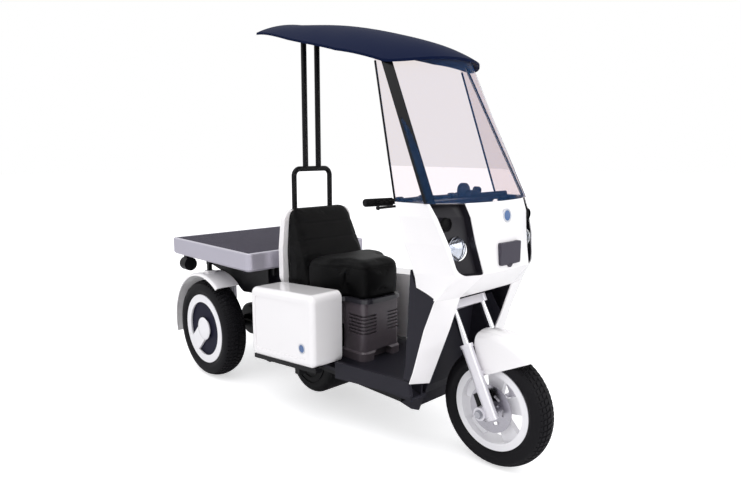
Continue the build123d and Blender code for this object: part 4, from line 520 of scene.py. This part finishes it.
def rounded(points, radius, steps=7):
    """A closed outline with its corners turned into arcs of up to the radius, or of one radius each."""
    out = []
    count = len(points)
    radii = list(radius) if isinstance(radius, (list, tuple)) else [radius] * count
    for k in range(count):
        corner = Vector(points[k])
        back = Vector(points[k - 1]) - corner
        ahead = Vector(points[(k + 1) % count]) - corner
        half_angle = 0.5 * back.angle(ahead)
        slope = max(1e-6, abs(sin(half_angle) / cos(half_angle)))
        cut = min(radii[k] / slope, 0.45 * back.length, 0.45 * ahead.length)
        start, end = corner + back.normalized() * cut, corner + ahead.normalized() * cut
        for j in range(steps + 1):
            t = j / steps
            out.append(start * (1 - t) ** 2 + corner * 2 * t * (1 - t) + end * t ** 2)
    return out


def stacked(rings):
    """A closed form through rings of equally many points, capped at both ends."""
    count = len(rings[0])
    last = (len(rings) - 1) * count
    verts = [p for ring in rings for p in ring]
    faces = []
    for base in range(0, last, count):
        for j in range(count):
            beside = (j + 1) % count
            faces.append((base + j, base + beside, base + count + beside, base + count + j))
    faces.append(tuple(range(count)))
    faces.append(tuple(range(last, last + count)))
    return verts, faces


PAD_VOXEL = 0.006
CLOTH_FRAMES = 20


def puffed(name, verts, faces, cap, low_limit, high_limit):
    """Fills a pad by cloth pressure: remeshed, blown up, held to a cap and to the space it has."""
    mesh = bpy.data.meshes.new(name + "_start")
    mesh.from_pydata([tuple(v) for v in verts], [], faces)
    work = bmesh.new()
    work.from_mesh(mesh)
    bmesh.ops.recalc_face_normals(work, faces=work.faces)
    work.to_mesh(mesh)
    work.free()
    pad = bpy.data.objects.new(name + "_start", mesh)
    bpy.context.scene.collection.objects.link(pad)
    even = pad.modifiers.new("even", "REMESH")
    even.mode = "VOXEL"
    even.voxel_size = PAD_VOXEL
    smooth_mesh = as_made(pad)
    pad.modifiers.clear()
    pad.data = smooth_mesh
    cloth = pad.modifiers.new("cloth", "CLOTH")
    cloth.settings.quality = 4
    cloth.settings.mass = 0.3
    cloth.settings.use_pressure = True
    cloth.settings.uniform_pressure_force = 4.0
    cloth.settings.effector_weights.gravity = 0.0
    cloth.settings.tension_stiffness = 12.0
    cloth.settings.compression_stiffness = 12.0
    cloth.point_cache.frame_start = 1
    cloth.point_cache.frame_end = CLOTH_FRAMES
    start = [v.co.copy() for v in pad.data.vertices]
    for step in range(1, CLOTH_FRAMES + 1):
        bpy.context.scene.frame_set(step)
    blown = as_made(pad)
    pad.modifiers.clear()
    for v, at in zip(blown.vertices, start):
        move = v.co - at
        if move.length > cap:
            move = move.normalized() * cap
        v.co = at + move
    pad.data = blown
    bpy.context.scene.frame_set(1)
    finer = pad.modifiers.new("finer", "SUBSURF")
    finer.levels = 1
    finer.render_levels = 1
    done = as_made(pad)
    out = []
    for v in done.vertices:
        out.append(Vector([min(max(c, lo), hi) for c, lo, hi in zip(v.co, low_limit, high_limit)]))
    faces = [tuple(p.vertices) for p in done.polygons]
    bpy.data.objects.remove(pad)
    return out, faces


BELL_BASE = 2.718


def pressed_lines(verts, lines, width, depth):
    """Presses sewn channels into a pad: each line is a function of a point that gives its distance."""
    out = []
    for v in verts:
        push = Vector((0, 0, 0))
        for distance, inward in lines:
            d = distance(v)
            if abs(d) < 3 * width:
                push += inward(v) * depth * BELL_BASE ** (-(d / width) ** 2)
        out.append(v + push)
    return out


# Seat cushion: moulded foam under black vinyl, wide between the lockers and narrow over the pedestal,
# crowned along its middle. A welted seam runs round its upper edge and the cover is drawn down under it.
vinyl = moulded_finish("black_seat_vinyl", "#060607", 0.55, 1.1, 0.22, sheen=0.12)
low, high = [Vector(p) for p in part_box("seat_cushion")]
CUSHION_PLAN = [(-0.098, -0.212), (0.026, -0.212), (0.112, -0.128), (0.231, -0.119),
                (0.231, 0.119), (0.112, 0.128), (0.026, 0.212), (-0.098, 0.212)]
CUSHION_LAYERS = [
    # height, drawn in
    (0.567, 0.008), (0.580, 0.004), (0.620, 0.002), (0.680, 0.003),
    (0.704, 0.006), (0.718, 0.014), (0.727, 0.030), (0.732, 0.060),
]
CUSHION_CORNER = 0.060
CUSHION_MID_X, CUSHION_HALF_X, CUSHION_HALF_Y = 0.0665, 0.1645, 0.212
WELT_Z, WELT_R = 0.704, 0.0028
SEAM_WIDTH, SEAM_DEPTH = 0.004, 0.0025


def about_middle(p, share_x, share_y, z):
    """A point of the cushion's plan drawn towards its middle, or away from it, at a height."""
    return Vector((CUSHION_MID_X + (p.x - CUSHION_MID_X) * share_x, p.y * share_y, z))


corners = [(x, y, 0) for x, y in CUSHION_PLAN]
plan = rounded(corners, CUSHION_CORNER)
rings = [[about_middle(p, 1 - inset / CUSHION_HALF_X, 1 - inset / CUSHION_HALF_Y, z) for p in plan]
         for z, inset in CUSHION_LAYERS]
verts, faces = puffed(
    "cushion", *stacked(rings), 0.007,
    (low.x, low.y - 0.004, low.z), (high.x + 0.006, high.y + 0.004, high.z + 0.004))
verts = pressed_lines(verts, [
    (lambda v: v.z - WELT_Z, lambda v: Vector((CUSHION_MID_X - v.x, -v.y, 0)).normalized()),
], SEAM_WIDTH, SEAM_DEPTH)
cushion = add_piece("cushion_cover", verts, faces, vinyl, "front_body", "seat_cover",
                    stands_for=("seat_cushion",))
skin = BVHTree.FromPolygons([tuple(v) for v in verts], faces)
line = []
for p in rounded(corners, CUSHION_CORNER, 12):
    aim, start = about_middle(p, 0.4, 0.4, WELT_Z), about_middle(p, 1.4, 1.4, WELT_Z)
    hit = skin.ray_cast(start, (aim - start).normalized())[0]
    if hit is not None:
        line.append(hit)
add_piece("cushion_welt", *tube(line, WELT_R, 8, True), vinyl, "front_body", "seat_cover")

# Seat back: a tall foam pad in the same vinyl, thin at the top and thick at its foot, set into the
# white shell, with two sewn channels across its front.
low, high = [Vector(p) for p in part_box("seat_back")]
BACK_OUTLINE = [(-0.196, 0.567), (-0.204, 0.747), (-0.186, 0.954),
                (0.186, 0.954), (0.204, 0.747), (0.196, 0.567)]
BACK_CORNERS = (0.020, 0.30, 0.058, 0.058, 0.30, 0.020)
BACK_LAYERS = [
    # share of the depth, share of the outline
    (0.0, 0.985), (0.06, 1.0), (0.40, 1.0), (0.74, 0.998), (0.87, 0.988), (0.95, 0.968), (0.99, 0.94),
    (1.0, 0.87), (1.0, 0.68), (1.0, 0.45), (1.0, 0.2),
]
BACK_X, BACK_MID_Z = -0.266, 0.75
# The front face stands upright up to the bend, and leans back by a depth over a rise above it.
BACK_FACE_X, BACK_BEND_Z, BACK_LEAN, BACK_RISE = -0.102, 0.684, 0.128, 0.268
outline = rounded([(0, y, z) for y, z in BACK_OUTLINE], BACK_CORNERS, 7)
rings = []
for depth, share in BACK_LAYERS:
    ring = []
    for p in outline:
        y, z = p.y * share, BACK_MID_Z + (p.z - BACK_MID_Z) * share
        lean = BACK_LEAN * (z - BACK_BEND_Z) / BACK_RISE if z > BACK_BEND_Z else 0.0
        face_x = BACK_FACE_X - lean
        ring.append(Vector((BACK_X + (face_x - BACK_X) * depth, y, z)))
    rings.append(ring)
verts, faces = puffed(
    "back", *stacked(rings), 0.006,
    (low.x, low.y - 0.009, low.z), (high.x, high.y + 0.009, high.z + 0.006))
CHANNEL_HEIGHTS = (0.800, 0.876)
CHANNEL_WIDTH, CHANNEL_DEPTH = 0.005, 0.0025
CHANNEL_FRONT_OF_X = -0.25


def channel_at(height):
    """A sewn channel across the front face: the distance of a point from it, and its push."""
    return (lambda v: v.z - height if v.x > CHANNEL_FRONT_OF_X else 1.0), lambda v: Vector((-1, 0, 0))


verts = pressed_lines(verts, [channel_at(height) for height in CHANNEL_HEIGHTS],
                      CHANNEL_WIDTH, CHANNEL_DEPTH)
back_pad = add_piece("back_cover", verts, faces, vinyl, "front_body", "seat_cover",
                     stands_for=("seat_back",))

# Headlamps: a bright bowl behind a clear domed lens, with a narrow ring of polished metal round the
# lens and a small clear bulb at the focus.
LAMP_Y, LAMP_Z = 0.214, 0.880
BOWL_BACK_X, BOWL_DEPTH = 0.768, 0.038
BOWL_RADII = (0.0, 0.007, 0.014, 0.021, 0.028, 0.036, 0.0445)
BOWL_WALL = 0.0015
LAMP_RING = [(0.801, 0.0445), (0.808, 0.0448), (0.8095, 0.0458), (0.809, 0.0470), (0.805, 0.0474),
             (0.801, 0.0474)]
DOME_FOOT_X, DOME_HIGH, DOME_R = 0.806, 0.030, 0.0444
BULB_X, BULB_R = 0.788, 0.011
bright = moulded_finish("lamp_bowl_aluminium", "#e6e8ee", 0.12, metallic=1.0)
chrome = moulded_finish("chromed_lamp_ring", "#9a9ba3", 0.14, metallic=1.0)
lens_glass, tree, shader = new_finish("clear_lamp_lens")
shader.inputs["Base Color"].default_value = linear("#f4f6fa")
shader.inputs["Transmission Weight"].default_value = 1.0
shader.inputs["IOR"].default_value = 1.3
place = add_node(tree, "ShaderNodeTexCoord")
flutes = add_node(tree, "ShaderNodeTexWave", None, {"Vector": place.outputs["Object"], "Scale": 60.0})
bump = add_node(tree, "ShaderNodeBump", None, {
    "Height": flutes.outputs["Fac"], "Distance": 0.0004, "Strength": 0.35})
tree.links.new(bump.outputs[0], shader.inputs["Normal"])
span = add_node(tree, "ShaderNodeMapRange", None, {
    "Value": flutes.outputs["Fac"], "To Min": 0.02, "To Max": 0.06})
tree.links.new(span.outputs[0], shader.inputs["Roughness"])
bowls, rims, domes = [], [], []
for side in (-1, 1):
    centre = (0, side * LAMP_Y, LAMP_Z)
    bowl = [(BOWL_BACK_X + BOWL_DEPTH * (r / BOWL_RADII[-1]) ** 2, r) for r in BOWL_RADII]
    bowl += [(x - BOWL_WALL, r + BOWL_WALL) for x, r in reversed(bowl)]
    bowls.append(turned(bowl, centre, (1, 0, 0), 56))
    rims.append(turned(LAMP_RING, centre, (1, 0, 0), 64))
    dome = [(DOME_FOOT_X + DOME_HIGH * cos(0.5 * pi * k / 8), DOME_R * sin(0.5 * pi * k / 8))
            for k in range(9)]
    dome += [(x - 0.002, max(0.0, r - 0.0012)) for x, r in reversed(dome)]
    domes.append(turned(dome, centre, (1, 0, 0), 56))
    ball = [(BULB_X + BULB_R * cos(pi * k / 12), BULB_R * sin(pi * k / 12)) for k in range(13)]
    domes.append(turned(ball, centre, (1, 0, 0), 32))
add_piece("headlamp_bowls", *joined(*bowls), bright, "front_body", "headlamp_lens",
          stands_for=("headlamps",))
add_piece("headlamp_rings", *joined(*rims), chrome, "front_body", "headlamp_lens")
add_piece("headlamp_lenses", *joined(*domes), lens_glass, "front_body", "headlamp_lens")

# Upper lamps: small black round housings above the headlamps, each with a smoked lens in a plain rim.
UPPER_LAMP = (0.798, 0.258, 0.972)
UPPER_RIM = [(-0.004, 0.0195), (0.003, 0.0195), (0.005, 0.0215), (0.004, 0.0245), (-0.010, 0.0245),
             (-0.010, 0.0235), (-0.004, 0.0235)]
UPPER_LENS = [(0.0005, 0.0), (0.0035, 0.0), (0.003, 0.008), (0.0015, 0.015), (-0.001, 0.0195),
              (-0.002, 0.0195)]
smoked = moulded_finish("smoked_lamp_lens", "#040405", 0.5, sheen=0.1)
parts = []
for side in (-1, 1):
    centre = (UPPER_LAMP[0], side * UPPER_LAMP[1], UPPER_LAMP[2])
    parts += [turned(profile, centre, (1, 0, 0), 48) for profile in (UPPER_RIM, UPPER_LENS)]
add_piece("upper_lamp_lenses", *joined(*parts), smoked, "front_body", "lamp_dark")

# Tail lamps: dark round housings with a domed red lens and a rim pressed over it.
TAIL_LAMP_Y, TAIL_LAMP_Z = 0.310, 0.585
TAIL_LENS = [(0.001, 0.0), (-0.008, 0.0), (-0.0075, 0.012), (-0.006, 0.022), (-0.003, 0.030),
             (0.001, 0.033)]
TAIL_RIM = [(0.004, 0.0378), (-0.003, 0.0378), (-0.0055, 0.036), (-0.005, 0.0335), (-0.001, 0.0325),
            (0.004, 0.0365)]
tail_shell = moulded_finish("tail_lamp_housing", "#0e0e12", 0.4, 1.2, 0.1, sheen=0.15)
put_finish(tail_shell, "tail_lamps")
tail_red = moulded_finish("tail_lens_red", "#6e0f14", 0.12, coat=1.0)
low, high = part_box("tail_lamps")
lenses, rims = [], []
for side in (-1, 1):
    centre = (low[0], side * TAIL_LAMP_Y, TAIL_LAMP_Z)
    lenses.append(turned(TAIL_LENS, centre, (1, 0, 0), 48))
    rims.append(turned(TAIL_RIM, centre, (1, 0, 0), 56))
add_piece("tail_lamp_lenses", *joined(*lenses), tail_red, "rear_carriage", "tail_lamp")
add_piece("tail_lamp_rims", *joined(*rims), tail_shell, "rear_carriage", "tail_lamp")

# Hub covers: a domed white cap pressed over each rear hub, where the arm of the wheel cover starts.
HUB_COVER_R = 0.062
HUB_FACE_Y = 0.3695
enamel = bpy.data.materials["wheel_enamel_white"]
for name, tyre, body, side in (("rear_right_hub_cover", "rear_right_tyre", "rear_wheel_right", -1),
                               ("rear_left_hub_cover", "rear_left_tyre", "rear_wheel_left", 1)):
    low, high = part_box(tyre)
    centre = (0.5 * (low[0] + high[0]), side * HUB_FACE_Y, 0.5 * (low[2] + high[2]))
    dome = [(0.0, 0.0), (0.0, HUB_COVER_R), (0.0018, HUB_COVER_R), (0.0045, 0.93 * HUB_COVER_R),
            (0.0070, 0.78 * HUB_COVER_R), (0.0088, 0.52 * HUB_COVER_R), (0.0096, 0.25 * HUB_COVER_R),
            (0.0098, 0.0)]
    add_piece(name, *turned([(side * a, r) for a, r in dome], centre, (0, 1, 0), 72), enamel, body,
              "white_wheel")

# Under-deck aprons: a black sheet on each side below the deck's rim, inboard of the wheel, that hides the
# springs and darkens the space under the deck. Its lower edge rises towards the tail.
APRON_Y, APRON_T = 0.234, 0.004
APRON_EDGE = [(-1.010, 0.6495), (-0.360, 0.6495), (-0.360, 0.505), (-0.600, 0.485), (-0.700, 0.545),
              (-0.930, 0.590), (-1.010, 0.612)]
APRON_CORNERS = (0.004, 0.004, 0.03, 0.05, 0.08, 0.05, 0.02)
edge = rounded([(x, 0, z) for x, z in APRON_EDGE], APRON_CORNERS, 5)
parts = []
for side in (-1, 1):
    parts.append(stacked([[Vector((q.x, side * y, q.z)) for q in edge]
                          for y in (APRON_Y, APRON_Y - APRON_T)]))
add_piece("under_deck_aprons", *joined(*parts), bpy.data.materials["powder_coat_black"],
          "rear_carriage", "frame_black", smooth=False)

# Wheel fixings: six screws of plated steel on the brake disc, and a nut with its washer at each end
# of the front axle.
AXLE_X, AXLE_Z = 0.860, 0.2375
DISC_FACE_Y = -0.044
SCREW_COUNT, SCREW_CIRCLE, SCREW_HEX_R, SCREW_HIGH = 6, 0.037, 0.0045, 0.004
NUT_FACE_Y, NUT_R, NUT_HIGH, NUT_TOP = 0.118, 0.0145, 0.010, 0.0015
WASHER_IN_R, WASHER_R, WASHER_T = 0.0102, 0.0185, 0.002
TOP_SHARE = 0.86
plated = moulded_finish("zinc_plated_steel", "#b4b4ba", 0.3, metallic=1.0)
layers = [(0.0, 1.35), (0.0012, 1.35), (0.0012, 1.0), (SCREW_HIGH * 0.85, 1.0), (SCREW_HIGH, TOP_SHARE)]
rings = [[Vector((SCREW_HEX_R * share * cos(pi * (j + 0.5) / 3), -y,
                  SCREW_CIRCLE + SCREW_HEX_R * share * sin(pi * (j + 0.5) / 3))) for j in range(6)]
         for y, share in layers]
verts, faces = ring_of("brake_disc_screws", *stacked(rings), SCREW_COUNT, plated)
centre = Vector((AXLE_X, DISC_FACE_Y, AXLE_Z))
add_piece("brake_disc_screws", [v + centre for v in verts], faces, plated, "front_wheel", "disc_steel",
          smooth=False)
parts = []
for side in (-1, 1):
    face_y = side * NUT_FACE_Y
    washer = [(0.0, WASHER_IN_R), (0.0, WASHER_R), (side * WASHER_T, WASHER_R),
              (side * WASHER_T, WASHER_IN_R)]
    parts.append(turned(washer, (AXLE_X, face_y, AXLE_Z), (0, 1, 0), 40))
    ring = [Vector((AXLE_X + NUT_R * cos(pi * j / 3), face_y + side * WASHER_T,
                    AXLE_Z + NUT_R * sin(pi * j / 3))) for j in range(6)]
    top = [p + Vector((0, side * NUT_HIGH, 0)) for p in ring]
    small = [Vector((AXLE_X + (p.x - AXLE_X) * TOP_SHARE, p.y + side * NUT_TOP,
                     AXLE_Z + (p.z - AXLE_Z) * TOP_SHARE)) for p in top]
    parts.append(stacked([ring, top, small]))
add_piece("front_axle_nuts", *joined(*parts), plated, "steering", "fork_silver", smooth=False)

# Windscreen trim: a black rubber channel over the rear edge of each side pane, from the cowl's
# shoulder up to the roof.
TRIM_FOOT, TRIM_HEAD = (0.600, 0.316, 1.047), (0.4413, 0.2653, 1.566)
TRIM_R = 0.0042
trim_rubber = moulded_finish("trim_rubber", "#0c0c0e", 0.55, 1.0, 0.08, sheen=0.15)
parts = []
for side in (-1, 1):
    foot, head = [Vector((x, side * y, z)) for x, y, z in (TRIM_FOOT, TRIM_HEAD)]
    parts.append(tube([foot.lerp(head, k / 12) for k in range(13)], TRIM_R, 10))
add_piece("windscreen_trim", *joined(*parts), trim_rubber, "front_body", "frame_black")

# Badge places: two plain domed discs of enamelled metal with a raised rim, bare of any mark, one on
# the nose above the plate and one low on the right locker, each bonded flush to its panel.
disc_blue = moulded_finish("enamelled_disc_blue", "#3f6397", 0.25, coat=0.5)
disc_rim = moulded_finish("enamelled_rim_silver", "#c9ccd3", 0.3, metallic=0.4)
BADGES = [
    # panel, start of the ray, its direction, radius
    ("cowl", (1.05, 0.0, 0.992), (-1, 0, 0), 0.026),
    ("side_boxes", (0.122, -0.60, 0.382), (0, 1, 0), 0.023),
]


def panel_point(panel, start, aim):
    """Where a ray meets a CAD node's skin, and the skin's normal there, facing the ray's start."""
    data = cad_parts[panel].data
    shape = BVHTree.FromPolygons([v.co.copy() for v in data.vertices],
                                 [tuple(p.vertices) for p in data.polygons])
    hit, out, _, _ = shape.ray_cast(Vector(start), Vector(aim))
    return hit, -out if out.dot(Vector(aim)) > 0 else out


discs, rims = [], []
for panel, start, aim, r in BADGES:
    hit, out = panel_point(panel, start, aim)
    edge_r = 0.76 * r
    discs.append(turned([(-0.002, 0.0), (-0.002, edge_r), (0.0012, edge_r), (0.0020, 0.4 * r),
                         (0.0024, 0.0)], hit, out, 56))
    rims.append(turned([(-0.002, edge_r - 0.0002), (0.0016, edge_r - 0.0002), (0.0026, 0.88 * r),
                        (0.0018, r), (-0.002, r)], hit, out, 56))
add_piece("badge_discs", *joined(*discs), disc_blue, "front_body", "white_panel")
add_piece("badge_rims", *joined(*rims), disc_rim, "front_body", "white_panel")

# Nose plate tab: the half-round lip under the plate, where a finger opens it, in the plate's plastic.
plate_low, plate_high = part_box("nose_plate")
TAB_R = 0.014
half_disc = [(TAB_R * cos(pi + pi * k / 14), TAB_R * sin(pi + pi * k / 14)) for k in range(15)]
rings = [[Vector((x, share * y, plate_low[2] + 0.002 + share * z)) for y, z in half_disc]
         for x, share in ((plate_high[0] - 0.011, 1.0), (plate_high[0] - 0.002, 1.0),
                          (plate_high[0], 0.93))]
add_piece("nose_plate_tab", *stacked(rings), bpy.data.materials["moulded_abs_nose_plate"],
          "front_body", "nose_dark", smooth=False)

# Instrument rail: a low upright flange along the dash's front edge, with two round holes, that shows
# through the windscreen above the cowl's lip. It is one folded strip with rounded ends.
RAIL_X, RAIL_T = 0.676, 0.006
RAIL_FROM_Y, RAIL_TO_Y = 0.030, 0.286
RAIL_LOW, RAIL_HIGH = 1.038, 1.062
RAIL_CORNER = 0.010
RAIL_COLUMNS = 64
RAIL_HOLES, RAIL_HOLES_Z = (0.160, 0.228), 1.052
work = bmesh.new()
for k in range(RAIL_COLUMNS + 1):
    y = RAIL_FROM_Y + (RAIL_TO_Y - RAIL_FROM_Y) * k / RAIL_COLUMNS
    inset = min(y - RAIL_FROM_Y, RAIL_TO_Y - y)
    drop = RAIL_CORNER - sqrt(max(0.0, RAIL_CORNER ** 2 - max(0.0, RAIL_CORNER - inset) ** 2))
    for x in (RAIL_X, RAIL_X + RAIL_T):
        work.verts.new((x, y, RAIL_LOW))
        work.verts.new((x, y, RAIL_HIGH - drop))
work.verts.ensure_lookup_table()
for k in range(RAIL_COLUMNS):
    a, b = 4 * k, 4 * (k + 1)
    for i, j in ((0, 1), (1, 3), (3, 2), (2, 0)):
        work.faces.new([work.verts[n] for n in (a + i, a + j, b + j, b + i)])
work.faces.new([work.verts[n] for n in (0, 1, 3, 2)])
last = 4 * RAIL_COLUMNS
work.faces.new([work.verts[n] for n in (last, last + 2, last + 3, last + 1)])
work.verts.index_update()
rail_parts = [([v.co.copy() for v in work.verts], [tuple(v.index for v in f.verts) for f in work.faces])]
work.free()
HOLE_RING = [(-0.001, 0.0038), (RAIL_T + 0.001, 0.0038), (RAIL_T + 0.001, 0.0056), (-0.001, 0.0056)]
for y in RAIL_HOLES:
    rail_parts.append(turned(HOLE_RING, (RAIL_X, y, RAIL_HOLES_Z), (1, 0, 0), 28))
add_piece("instrument_rail", *joined(*rail_parts), bpy.data.materials["moulded_abs_dark_grey"],
          "front_body", "dark_panel")

# Pedestal skirt: a thin moulded sheet on each side behind the louvred seat base, that closes the gap
# to the locker under the seat pan.
SKIRT_Y, SKIRT_T = 0.1165, 0.0025
SKIRT_LOW, SKIRT_HIGH, SKIRT_REAR_X = 0.430, 0.5435, -0.10
low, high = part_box("seat_base")
SKIRT_FRONT_X = low[0] + 0.024
parts = []
for side in (-1, 1):
    outer = side * SKIRT_Y
    rings = [[Vector((x, y, z)) for x, z in ((SKIRT_FRONT_X, SKIRT_LOW), (SKIRT_REAR_X, SKIRT_LOW),
                                             (SKIRT_REAR_X, SKIRT_HIGH), (SKIRT_FRONT_X, SKIRT_HIGH))]
             for y in (outer, outer - side * SKIRT_T)]
    parts.append(stacked(rings))
add_piece("pedestal_skirt", *joined(*parts), bpy.data.materials["moulded_abs_seat_base"],
          "front_body", "seat_base_dark", smooth=False)

# Leg panel screws: small domed heads of plated steel with a hollow in the middle, two a side.
SCREW_R = 0.005
SCREW_PLACES = ((0.628, 0.646), (0.590, 0.412))
SCREW_HEAD = [(-0.001, 0.0), (-0.001, SCREW_R), (0.0006, SCREW_R), (0.0018, 0.7 * SCREW_R),
              (0.0020, 0.3 * SCREW_R), (0.0012, 0.0)]
parts = []
for side in (-1, 1):
    for x, z in SCREW_PLACES:
        hit, out = panel_point("leg_panel", (x, side * 0.6, z), (0, -side, 0))
        parts.append(turned(SCREW_HEAD, hit, out, 24))
add_piece("leg_panel_screws", *joined(*parts), plated, "front_body", "dark_panel")

# Gauges: two round hooded instruments on the dash pods, a large one and a small one, each a moulded
# barrel with a pale dial under a bright ring that faces the rider. Their backs show through the glass.
dial = moulded_finish("gauge_dial_white", "#d8d8d2", 0.4)
GAUGES = [
    # across, height, radius
    (0.052, 1.071, 0.030),
    (0.141, 1.067, 0.016),
]
GAUGE_FACE_X, GAUGE_BACK_X = 0.6205, 0.646
GAUGE_DEEP = GAUGE_BACK_X - GAUGE_FACE_X
barrels, dials, bezels = [], [], []
for y, z, r in GAUGES:
    centre = (GAUGE_FACE_X, y, z)
    barrels.append(turned([(0.002, 0.0), (0.002, r - 0.003), (0.0, r - 0.002), (0.0, r),
                           (0.70 * GAUGE_DEEP, r), (0.92 * GAUGE_DEEP, 0.84 * r), (GAUGE_DEEP, 0.5 * r),
                           (GAUGE_DEEP, 0.0)], centre, (1, 0, 0), 56))
    dials.append(turned([(0.002, 0.0), (0.0012, 0.0), (0.0012, r - 0.0045), (0.002, r - 0.0045)],
                        centre, (1, 0, 0), 48))
    bezels.append(turned([(0.001, r - 0.0004), (-0.001, r - 0.0008), (-0.0016, r - 0.0024),
                          (0.0005, r - 0.0045), (0.002, r - 0.0038), (0.002, r - 0.002)],
                         centre, (1, 0, 0), 56))
add_piece("gauge_barrels", *joined(*barrels), bpy.data.materials["moulded_abs_dark_grey"],
          "front_body", "dark_panel")
add_piece("gauge_dials", *joined(*dials), dial, "front_body", "dark_panel")
add_piece("gauge_bezels", *joined(*bezels), chrome, "front_body", "dark_panel")

low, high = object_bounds()
